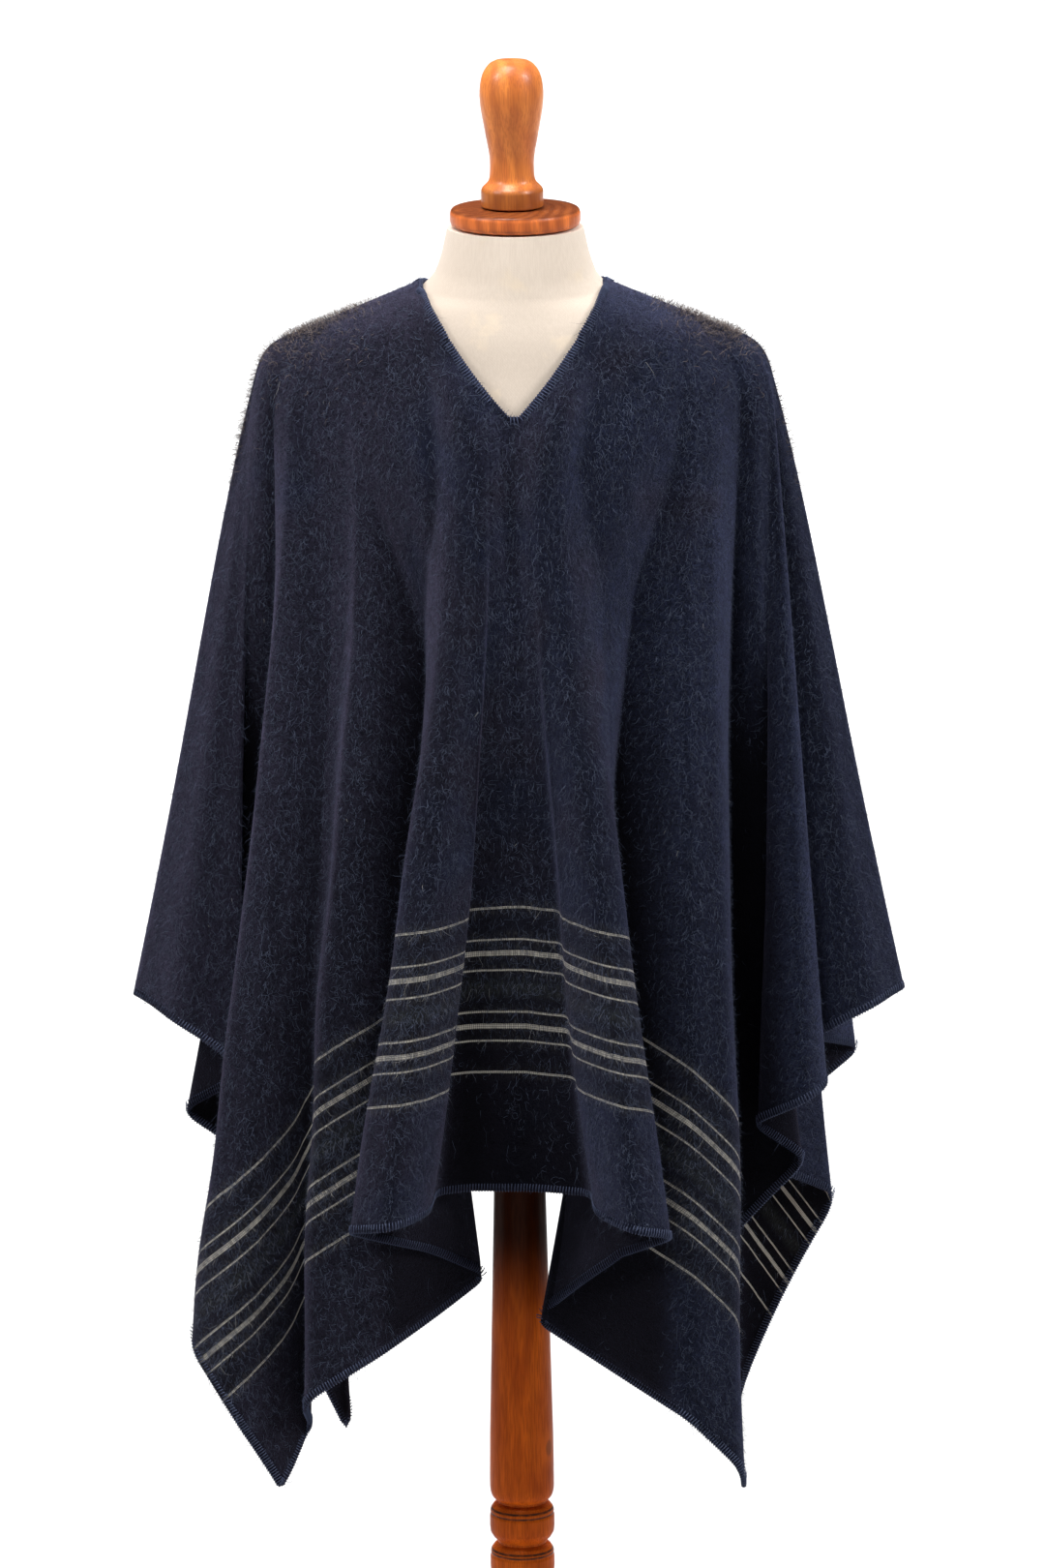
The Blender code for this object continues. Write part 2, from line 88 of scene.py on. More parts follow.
FRONT_RIGHT = (
    (0.0, 0.007, 0.096, 2.0),
    (3.5, 0.063, 0.104, 1.7),
    (7.2, 0.063, 0.144, 3.5),
    (9.6, 0.080, 0.163, 2.6),
    (12.0, 0.100, 0.173, 2.0),
    (15.0, 0.131, 0.150, 1.6),
    (29.0, 0.012, 0.054, 1.2),
    (34.0, 0.140, 0.132, 1.0),
    (37.8, 0.194, 0.122, 1.2),
    (40.5, 0.186, 0.090, 1.2),
    (47.0, 0.165, -0.012, 0.8),
    (54.7, 0.249, 0.010, 2.2),
    (59.5, 0.200, 0.038, 2.0),
    (62.8, 0.246, 0.062, 1.4),
    (64.7, 0.267, 0.046, 1.2),
    (70.0, 0.240, -0.016, 0.9),
    (74.5, 0.264, 0.026, 1.0),
    (82.0, 0.304, 0.029, 1.0),
    (90.0, 0.332, 0.0, 1.0),
)
BACK_LEFT = (
    (0.0, 0.007, 0.158, 0.9),
    (7.0, 0.078, 0.198, 0.9),
    (13.0, 0.035, 0.110, 0.9),
    (21.0, 0.152, 0.194, 0.9),
    (28.0, 0.108, 0.092, 0.9),
    (33.5, 0.176, 0.148, 0.9),
    (38.3, 0.150, 0.092, 0.9),
    (45.0, 0.236, 0.129, 0.9),
    (52.0, 0.175, 0.030, 0.9),
    (60.0, 0.264, 0.086, 0.9),
    (71.0, 0.215, 0.008, 0.9),
    (81.0, 0.288, 0.056, 0.9),
    (90.0, 0.331, 0.0, 1.0),
)
BACK_RIGHT = (
    (0.0, 0.007, 0.158, 0.9),
    (5.0, 0.052, 0.122, 0.9),
    (11.5, 0.106, 0.198, 0.9),
    (15.0, 0.084, 0.142, 0.9),
    (18.5, 0.138, 0.190, 0.9),
    (22.5, 0.102, 0.098, 0.9),
    (28.0, 0.174, 0.176, 0.9),
    (33.0, 0.165, 0.100, 0.9),
    (38.6, 0.190, 0.142, 0.9),
    (48.5, 0.281, 0.120, 0.9),
    (53.5, 0.190, 0.062, 0.9),
    (62.0, 0.300, 0.106, 0.9),
    (69.0, 0.240, 0.040, 0.9),
    (79.0, 0.318, 0.056, 0.9),
    (90.0, 0.332, 0.0, 1.0),
)
# how far runs swing sideways below the shoulder: grain, outward. SWING_PEAK makes the curve's top 1
SWING_PEAK = 9.48
SWING_LEFT = (
    (0.0, 0.0), (8.0, -0.012), (13.5, -0.022), (24.5, -0.030), (33.5, -0.034), (38.0, -0.022), (44.5, -0.008),
    (60.0, 0.0), (90.0, 0.006),
)
SWING_RIGHT = (
    (0.0, 0.0), (8.0, -0.018), (15.0, -0.032), (29.0, -0.024), (37.8, -0.012), (47.0, -0.004), (60.0, 0.0),
    (90.0, 0.006),
)
SWING_BACK = ((0.0, 0.0), (60.0, 0.0), (90.0, 0.006))
# where the cloth would hang with its folds pulled out, which is how each run starts: grain, out, ahead
TREND_LEFT = (
    (0.0, 0.007, 0.106), (7.0, 0.036, 0.108), (11.0, 0.054, 0.119), (20.0, 0.085, 0.135), (32.5, 0.160, 0.132),
    (37.0, 0.190, 0.091), (44.5, 0.2085, 0.112), (52.0, 0.204, 0.036), (59.5, 0.236, 0.032), (67.0, 0.262, 0.042),
    (79.0, 0.304, 0.038), (90.0, 0.331, 0.0),
)
TREND_RIGHT = (
    (0.0, 0.007, 0.106), (7.0, 0.036, 0.109), (11.0, 0.054, 0.120), (20.0, 0.085, 0.135), (39.0, 0.184, 0.122),
    (47.0, 0.190, 0.036), (54.7, 0.212, 0.026), (59.5, 0.230, 0.036), (64.7, 0.268, 0.060), (70.0, 0.262, 0.014),
    (77.0, 0.298, 0.032), (90.0, 0.331, 0.0),
)
TREND_BACK = (
    (0.0, 0.007, 0.100), (20.0, 0.085, 0.135), (40.0, 0.195, 0.120), (65.0, 0.270, 0.060), (90.0, 0.331, 0.0),
)
# covered form: level, half width, depth in front, depth behind
FORM_SECTIONS = (
    (0.900, 0.124, 0.052, 0.066),
    (0.912, 0.136, 0.062, 0.076),
    (0.945, 0.143, 0.068, 0.082),
    (1.020, 0.136, 0.070, 0.080),
    (1.090, 0.122, 0.074, 0.076),
    (1.170, 0.132, 0.086, 0.080),
    (1.250, 0.152, 0.100, 0.088),
    (1.310, 0.168, 0.101, 0.093),
    (1.350, 0.175, 0.092, 0.092),
    (1.375, 0.177, 0.083, 0.087),
    (1.392, 0.172, 0.078, 0.082),
    (1.407, 0.153, 0.073, 0.077),
    (1.422, 0.116, 0.066, 0.072),
    (1.436, 0.0815, 0.0610, 0.0680),
    (1.450, 0.0685, 0.0585, 0.0650),
    (1.468, 0.0625, 0.0570, 0.0610),
    (1.4945, 0.0570, 0.0550, 0.0570),
)
FORM_POWER = 2.25


# ---------------------------------------------------------------- cloth shape
def unit(vectors):
    return vectors / np.maximum(np.linalg.norm(vectors, axis=-1, keepdims=True), 1e-9)


def smooth(t):
    t = np.clip(t, 0, 1)
    return t * t * (3 - 2 * t)


def form_sizes(z):
    table = np.array(FORM_SECTIONS)
    return [np.interp(z, table[:, 0], table[:, k]) for k in (1, 2, 3)]


def form_level(p):
    half_width, front, back = form_sizes(p[..., 2])
    depth = np.where(p[..., 1] > 0, back, front)
    share = np.abs(p[..., 0] / half_width) ** FORM_POWER + np.abs(p[..., 1] / depth) ** FORM_POWER
    return share ** (1 / FORM_POWER) - 1


def clear_of_form(p, clear=CLOTH_CLEAR):
    """Points moved out to lie clear of the covered form."""
    bottom, top = FORM_SECTIONS[0][0], FORM_SECTIONS[-1][0]
    step = 0.0005
    for _ in range(5):
        level = form_level(p)
        slope = np.stack([form_level(p + step * axis) - level for axis in np.eye(3)], -1) / step
        size = np.maximum(np.linalg.norm(slope, axis=-1), 1e-6)
        short = np.clip(clear - level / size, 0, 0.02)
        short = np.where((p[..., 2] > bottom - 0.02) & (p[..., 2] < top), short, 0)
        p = p + (slope / size[..., None]) * short[..., None]
    return p


def flat_start(grain, slit):
    """The (u, v) on the flat cloth where a run begins."""
    if grain < NECK_LEAN:
        share = grain / NECK_LEAN
        return SLIT_HALF + (NECK_HALF - SLIT_HALF) * share, slit * (1 - share)
    share = (grain - NECK_LEAN) / (90 - NECK_LEAN)
    return NECK_HALF + SHOULDER_RUN * (0.95 * (1 - (1 - share) ** 3) + 0.05 * share), 0.0


def run_start(grain, face):
    """Where a run leaves the neck edge or the shoulder fold, which way, and how long its turn downwards is."""
    slit, foot, chest = (
        (SLIT_FRONT, FOOT_FRONT, TURN_CHEST) if face < 0 else (SLIT_BACK, FOOT_BACK, TURN_SHOULDER)
    )
    u, _ = flat_start(grain, slit)
    lean = math.radians(grain)
    along = np.array((math.cos(SHOULDER_SLOPE), 0, -math.sin(SHOULDER_SLOPE)))
    if grain < NECK_LEAN:
        share = grain / NECK_LEAN
        reach, drop = BOW_FRONT if face < 0 else BOW_BACK
        bow = np.array((reach, foot[1], NECK_POINT[2] + drop * (foot[2] - NECK_POINT[2])))
        start = (1 - share) ** 2 * foot + 2 * share * (1 - share) * bow + share**2 * NECK_POINT
        pitch = math.radians(FOOT_PITCH + (TOP_PITCH - FOOT_PITCH) * share)
        turn = TURN_FOOT + (chest - TURN_FOOT) * share
    else:
        start = NECK_POINT + (u - NECK_HALF) * along
        pitch = math.radians(TOP_PITCH)
        past_chest = float(smooth((grain - CHEST_CHANGE[0]) / CHEST_CHANGE[1]))
        past_shoulder = float(smooth((grain - SIDE_CHANGE[0]) / SIDE_CHANGE[1]))
        turn = chest + (TURN_SHOULDER - chest) * past_chest
        turn += (TURN_SIDE - TURN_SHOULDER) * past_shoulder
    ahead = np.array((0, face * math.cos(pitch), -math.sin(pitch)))
    return start, unit(math.sin(lean) * along + math.cos(lean) * ahead), turn


def turned(set_out, hang, turn, shares):
    """Places along the curve by which a run turns from its first way to the way it hangs."""
    steps = 12
    mix = smooth(np.asarray(shares)[:, None] * (np.arange(steps) + 0.5) / steps)[..., None]
    swing = unit((1 - mix) * set_out + mix * hang)
    return swing.sum(axis=1) * (turn * np.asarray(shares) / steps)[:, None]


def run_shape(grain, out, ahead, face, length):
    """The way a run hangs so that its end lies at (out, ahead)."""
    start, set_out, turn = run_start(grain, face)
    hang = np.array((0.0, 0.0, -1.0))
    for _ in range(8):
        reach = np.array((out, face * ahead, 0)) - start - turned(set_out, hang, turn, [1.0])[0]
        lean = reach[:2] / (length - turn)
        hang = np.array((*lean, -math.sqrt(max(1 - lean @ lean, 0.01))))
    return start, set_out, turn, hang


def run_points(grain, out, ahead, growth, side, face):
    """One run of cloth from its top to the hem or side edge, with the cloth's own (u, v)."""
    slit = SLIT_FRONT if face < 0 else SLIT_BACK
    u, v = flat_start(grain, slit)
    lean = math.radians(grain)
    length = min(
        (HALF_LENGTH - v) / max(math.cos(lean), 1e-6), (HALF_WIDTH - u) / max(math.sin(lean), 1e-6)
    )
    start, set_out, turn, hang = run_shape(grain, out, ahead, face, length)
    edge = start + turned(set_out, hang, turn, [1.0])[0] + hang * (length - turn)
    table = np.array(TREND_BACK if face > 0 else TREND_LEFT if side < 0 else TREND_RIGHT)
    plain = [float(np.interp(grain, table[:, 0], table[:, k])) for k in (1, 2)]
    start, set_out, turn, hang = run_shape(grain, *plain, face, length)
    bend = start + turned(set_out, hang, turn, [1.0])[0]
    plain_edge = bend + hang * (length - turn)
    points = np.concatenate(
        [
            start + turned(set_out, hang, turn, TURN_ROWS),
            bend + hang * ((length - turn) * HANG_ROWS)[:, None],
        ]
    )
    along = np.concatenate([turn * TURN_ROWS, turn + (length - turn) * HANG_ROWS])
    grown = np.clip((along - turn / 2) / (length - turn / 2), 0, 1)[:, None] ** growth
    points = points + (edge - plain_edge) * grown
    swing = np.array(SWING_BACK if face > 0 else SWING_LEFT if side < 0 else SWING_RIGHT)
    share = along / length
    points[:, 0] += np.interp(grain, swing[:, 0], swing[:, 1]) * SWING_PEAK * share * (1 - share) ** 3
    points = points * (side, 1, 1)
    uv = np.stack([side * (u + along * math.sin(lean)), v + along * math.cos(lean)], -1)
    return points, uv


def fold_line(table):
    """Runs between a table's rows, with each fold rounded."""
    knots = np.array(table)
    columns = [knots[:1]]
    for k in range(1, len(knots)):
        before, after = knots[k - 1], knots[k]
        width = np.hypot(*(after - before)[1:3])
        share = min(FOLD_SHARE, FOLD_ROUND / width)
        first = share if k > 1 else 0.0
        last = 1 - share if k < len(knots) - 1 else 1.0
        by_width = math.ceil(width * (last - first) / COLUMN_STEP)
        count = max(3, by_width, math.ceil((after - before)[0] / GRAIN_STEP))
        t = np.linspace(first, last, count + 1)[(1 if k == 1 else 0) :, None]
        columns.append(before + (after - before) * t)
        if k < len(knots) - 1:
            beyond = knots[k + 1]
            next_share = min(FOLD_SHARE, FOLD_ROUND / np.hypot(*(beyond - after)[1:3]))
            a, b = after + (before - after) * share, after + (beyond - after) * next_share
            t = np.linspace(0, 1, 6)[1:-1, None]
            columns.append((1 - t) ** 2 * a + 2 * t * (1 - t) * after + t**2 * b)
    columns = np.concatenate(columns)
    nearest = int(np.argmin(np.abs(columns[:, 0] - NECK_LEAN)))
    columns[nearest, 0] = NECK_LEAN
    return columns


def cloth_face(face, left, right):
    """The runs of one face, from its left side edge round to its right one."""
    points, uv, grains = [], [], []
    for side, table in ((-1, left), (1, right)):
        columns = fold_line(table)
        runs = [run_points(*column, side, face) for column in columns]
        order = range(len(runs) - 1, -1, -1) if side < 0 else range(len(runs))
        points += [runs[i][0] for i in order]
        uv += [runs[i][1] for i in order]
        grains += [side * columns[i][0] for i in order]
    return np.array(points), np.array(uv), np.array(grains)


def soften(points, times, strength):
    """Evens the cloth a little, its edges kept; strength is one value for each point."""
    strength = strength[1:-1, 1:-1, None]
    for _ in range(times):
        middle = (points[:-2, 1:-1] + points[2:, 1:-1] + points[1:-1, :-2] + points[1:-1, 2:]) / 4
        points[1:-1, 1:-1] += strength * (middle - points[1:-1, 1:-1])
    return points


def face_normals(points, face):
    across, down = np.gradient(points, axis=0), np.gradient(points, axis=1)
    return unit(np.cross(across, down) * face)


# creases pressed or lifted: start (u, v), end (u, v), half width, height
CREASES_FRONT = (
    ((-0.004, 0.135), (-0.006, 0.300), 0.016, -0.0040),
    ((-0.120, 0.100), (-0.200, 0.420), 0.030, 0.0025),
    ((0.150, 0.080), (0.220, 0.400), 0.030, 0.0025),
    ((-0.250, 0.060), (-0.420, 0.180), 0.020, 0.0022),
    ((0.260, 0.070), (0.430, 0.210), 0.020, 0.0022),
)
CREASES_BACK = (
    ((0.004, 0.080), (0.008, 0.300), 0.014, -0.0030),
    ((-0.050, 0.120), (-0.090, 0.480), 0.024, 0.0030),
    ((0.070, 0.110), (0.120, 0.440), 0.026, 0.0028),
    ((-0.190, 0.080), (-0.290, 0.320), 0.028, 0.0025),
    ((0.210, 0.060), (0.330, 0.280), 0.026, 0.0025),
)


EVEN_ON_FORM, EVEN_HANGING, CHEST_LEVEL = 0.5, 0.03, 1.16
WAVE_HEIGHT = 0.0011


def crease_heights(uv, creases):
    height = np.zeros(uv.shape[:2])
    for start, end, half, rise in creases:
        start, end = np.array(start), np.array(end)
        line = end - start
        t = np.clip(((uv - start) @ line) / (line @ line), 0, 1)
        away = np.linalg.norm(uv - start - t[..., None] * line, axis=-1)
        height += rise * np.exp(-((away / half) ** 2)) * np.sin(math.pi * np.clip(t * 0.92 + 0.08, 0, 1)) ** 0.7
    return height


def loose_waves(uv, phase):
    """The slight unevenness of a thick brushed cloth."""
    u, v = uv[..., 0], np.abs(uv[..., 1])
    waves = (
        np.sin(23 * u + 9 * v + phase)
        + np.sin(-17 * u + 21 * v + 2.1 * phase)
        + 0.6 * np.sin(41 * u - 13 * v + 3.7 * phase)
    )
    return WAVE_HEIGHT * waves * smooth((v - 0.15) / 0.4)


def cloth_grid(face, left, right, creases, phase):
    """A whole face: evened more where it lies on the form, kept off it, creased, and closed at the shoulder."""
    points, uv, grains = cloth_face(face, left, right)
    edge_rows = points[:, 0].copy()
    lying = EVEN_ON_FORM * smooth((points[..., 2] - CHEST_LEVEL) / 0.16) + EVEN_HANGING
    points = soften(points, 8, lying)
    points = clear_of_form(points)
    points = soften(points, 3, lying)
    normals = face_normals(points, face)
    lift = crease_heights(uv, creases) + loose_waves(uv, phase)
    lift[:, 0] = 0
    lift[0], lift[-1] = 0, 0
    points = clear_of_form(points + normals * lift[..., None])
    on_fold = np.abs(grains) >= NECK_LEAN
    points[on_fold, 0] = clear_of_form(edge_rows[on_fold])
    points[on_fold, 0, 1] = 0
    return points, uv, grains


def fold_shade(grid, face):
    """How far the folds on both sides of a place stand in front of it, from 0 to 1."""
    order = np.arange(grid.shape[0])
    left = order[None, :] < order[:, None]
    shade = np.empty(grid.shape[:2])
    for row in range(grid.shape[1]):
        ahead, across = face * grid[:, row, 1], grid[:, row, 0]
        rise = np.maximum(ahead[None, :] - ahead[:, None], 0)
        slope = rise / np.hypot(rise, np.abs(across[None, :] - across[:, None]) + 0.01)
        shade[:, row] = np.where(left, slope, 0).max(1) * np.where(left, 0, slope).max(1)
    return shade


front, front_uv, front_grain = cloth_grid(-1, FRONT_LEFT, FRONT_RIGHT, CREASES_FRONT, 0.7)
back, back_uv, back_grain = cloth_grid(1, BACK_LEFT, BACK_RIGHT, CREASES_BACK, 2.9)
front[(0, -1), :] = back[(0, -1), :] = (front[(0, -1), :] + back[(0, -1), :]) / 2


def shoulder_row(grains, side):
    """Columns of one side that start on the shoulder fold, from the neck outwards."""
    found = [i for i, g in enumerate(grains) if g * side >= NECK_LEAN]
    return sorted(found, key=lambda i: abs(grains[i]))


def on_line(points, targets):
    """Each point's nearest place along a line of points."""
    x = np.abs(points[:, 0])
    order = np.argsort(np.abs(targets[:, 0]))
    line = targets[order]
    return np.stack([np.interp(x, np.abs(line[:, 0]), line[:, k]) for k in range(3)], -1)


def join_shoulders():
    """Puts the back's shoulder points on the front's shoulder fold."""
    for side in (-1, 1):
        ahead, behind = shoulder_row(front_grain, side), shoulder_row(back_grain, side)
        back[behind, 0] = on_line(back[behind, 0], front[ahead, 0])


join_shoulders()


def poncho_mesh():
    """Both faces in one mesh. Along the side runs they share points, and the shoulder fold's two rows
    lie on one line."""
    points, uvs, faces, shades = [], [], [], []
    index = {}
    for k, (grid, uv, grains) in enumerate(((front, front_uv, front_grain), (back, back_uv, back_grain))):
        sign = 1 if k == 0 else -1
        shade = fold_shade(grid, -sign)
        count, depth = grid.shape[:2]
        table = np.full((count, depth), -1)
        for i in range(count):
            shared = i in (0, count - 1)
            for j in range(depth):
                key = ("side", i == 0, j) if shared else (k, i, j)
                if key not in index:
                    index[key] = len(points)
                    points.append(grid[i, j])
                    shades.append(shade[i, j])
                table[i, j] = index[key]
        for i in range(count - 1):
            for j in range(depth - 1):
                corners = [(i, j), (i + 1, j), (i + 1, j + 1), (i, j + 1)]
                if k == 0:
                    corners = corners[::-1]
                faces.append([table[c] for c in corners])
                uvs.append([(uv[c][0], sign * uv[c][1]) for c in corners])
    return np.array(points), faces, uvs, shades


def new_piece(name, points, faces, finish):
    mesh = bpy.data.meshes.new(name)
    mesh.from_pydata([tuple(p) for p in points], [], [[int(i) for i in f] for f in faces])
    mesh.materials.append(finish)
    mesh.polygons.foreach_set("use_smooth", [True] * len(mesh.polygons))
    piece = bpy.data.objects.new(name, mesh)
    scene.collection.objects.link(piece)
    return piece


# ---------------------------------------------------------------- material helpers
class Nodes:
    """A short way to wire a node tree."""

    def __init__(self, tree):
        self.tree = tree

    def add(self, kind, inputs=None, **settings):
        node = self.tree.nodes.new(kind)
        for name, value in settings.items():
            setattr(node, name, value)
        for name, value in (inputs or {}).items():
            self.put(node.inputs[name], value)
        return node

    def put(self, socket, value):
        if isinstance(value, bpy.types.NodeSocket):
            self.tree.links.new(value, socket)
        else:
            socket.default_value = value

    def math(self, operation, a, b=0.0, clamp=False):
        node = self.add("ShaderNodeMath", operation=operation, use_clamp=clamp)
        self.put(node.inputs[0], a)
        self.put(node.inputs[1], b)
        return node.outputs[0]

    def plus(self, a, b):
        return self.math("ADD", a, b)

    def minus(self, a, b, clamp=False):
        return self.math("SUBTRACT", a, b, clamp)

    def times(self, first, *others):
        for value in others:
            first = self.math("MULTIPLY", first, value)
        return first

    def mix(self, factor, a, b, blend="MIX"):
        node = self.add("ShaderNodeMix", data_type="RGBA", blend_type=blend)
        for socket, value in ((node.inputs[0], factor), (node.inputs[6], a), (node.inputs[7], b)):
            self.put(socket, (*value, 1.0) if isinstance(value, tuple) else value)
        return node.outputs[2]

    def toned(self, colour, tone):
        """The colour made lighter or darker by one value."""
        grey = self.add("ShaderNodeCombineColor", {"Red": tone, "Green": tone, "Blue": tone}).outputs[0]
        return self.mix(1.0, colour, grey, "MULTIPLY")

    def noise(self, vector, scale, detail=3.0, rough=0.55, distortion=0.0):
        inputs = {"Vector": vector, "Scale": scale, "Detail": detail}
        inputs.update({"Roughness": rough, "Distortion": distortion})
        return self.add("ShaderNodeTexNoise", inputs).outputs["Fac"]

    def stretch(self, vector, scale):
        return self.add("ShaderNodeMapping", {"Vector": vector, "Scale": scale}).outputs[0]

    def span(self, value, low, high, to_low=0.0, to_high=1.0):
        inputs = {"Value": value, "From Min": low, "From Max": high, "To Min": to_low, "To Max": to_high}
        return self.add("ShaderNodeMapRange", inputs, interpolation_type="SMOOTHSTEP").outputs[0]

    def apart(self, vector):
        return self.add("ShaderNodeSeparateXYZ", {"Vector": vector}).outputs

    def attribute(self, name):
        return self.add("ShaderNodeAttribute", attribute_name=name).outputs["Fac"]

    def own_place(self):
        return self.add("ShaderNodeTexCoord").outputs["Object"]

    def bump(self, height, strength, distance):
        inputs = {"Height": height, "Strength": strength, "Distance": distance}
        return self.add("ShaderNodeBump", inputs).outputs[0]

    def group(self, tree, **inputs):
        """The first output of a placed node group."""
        named = {name.replace("_", " "): value for name, value in inputs.items()}
        return self.add("ShaderNodeGroup", named, node_tree=tree).outputs[0]


class Finish(Nodes):
    """A new material, with its Principled shader."""

    def __init__(self, name):
        self.made = bpy.data.materials.new(name)
        self.made.use_nodes = True
        super().__init__(self.made.node_tree)

    def close(self, **sockets):
        """Gives the shader its colours, masks, normals and plain values."""
        shader = self.tree.nodes["Principled BSDF"]
        for name, value in sockets.items():
            self.put(shader.inputs[name.replace("_", " ")], value)
        return self.made


def group_tree(name, inputs, outputs):
    tree = bpy.data.node_groups.new(name, "ShaderNodeTree")
    for label, kind in inputs.items():
        tree.interface.new_socket(label, in_out="INPUT", socket_type="NodeSocket" + kind)
    for label in outputs:
        tree.interface.new_socket(label, in_out="OUTPUT", socket_type="NodeSocketFloat")
    nodes = Nodes(tree)
    return tree, nodes, nodes.add("NodeGroupInput").outputs, nodes.add("NodeGroupOutput").inputs


def stripe_group():
    """Mask of one woven stripe: 1 on the stripe, soft at its rims."""
    tree, n, given, gives = group_tree(
        "woven_stripe", dict.fromkeys(("Distance", "Centre", "Half width", "Rim"), "Float"), ["Mask"]
    )
    away = n.math("ABSOLUTE", n.minus(given["Distance"], given["Centre"]))
    share = n.math("DIVIDE", n.minus(away, given["Half width"]), given["Rim"])
    n.put(gives["Mask"], n.minus(1.0, share, clamp=True))
    return tree


def thread_group():
    """Fine irregular threads: long streaks along one way, values 0 to 1."""
    tree, n, given, gives = group_tree(
        "loose_threads", {"Vector": "Vector", "Across": "Float", "Along": "Float"}, ["Value"]
    )
    scale = n.add("ShaderNodeCombineXYZ", {"X": given["Across"], "Y": given["Along"], "Z": 1.0}).outputs[0]
    stretched = n.add("ShaderNodeVectorMath", operation="MULTIPLY")
    n.put(stretched.inputs[0], given["Vector"])
    n.put(stretched.inputs[1], scale)
    n.put(gives["Value"], n.span(n.noise(stretched.outputs[0], 1.0, 3.0, 0.6, 0.6), 0.3, 0.7))
    return tree


STRIPE = stripe_group()
THREADS = thread_group()
THIN, THICK = 0.0008, 0.0021
# distance from the hem, half width
STRIPES = (
    (0.252, THIN), (0.224, THIN), (0.212, THICK), (0.197, THIN),
    (0.160, THIN), (0.147, THICK), (0.134, THIN), (0.106, THIN),
)
STRIPE_RIM, HAZE_RIM, WEAVE_WANDER = 0.0003, 0.009, 0.0012
NAP_BAND, NAP_BAND_HALF = 0.181, 0.003
GROUND_MIDDLE, GROUND_HALF, GROUND_RIM = 0.179, 0.072, 0.006
TWILL = 1850.0
BLUE_AHEAD, PURPLE_AHEAD = (0.0038, 0.0052, 0.0116), (0.0054, 0.0054, 0.0097)
BLUE_ASLANT, PURPLE_ASLANT = (0.024, 0.030, 0.061), (0.030, 0.027, 0.045)
STRIPE_GROUND, STRIPE_PALE = (0.0055, 0.0058, 0.0080), (0.60, 0.565, 0.49)
HAZE_AND_SHEEN_PALE, NAP_BAND_GREEN = (0.13, 0.127, 0.115), (0.050, 0.056, 0.050)


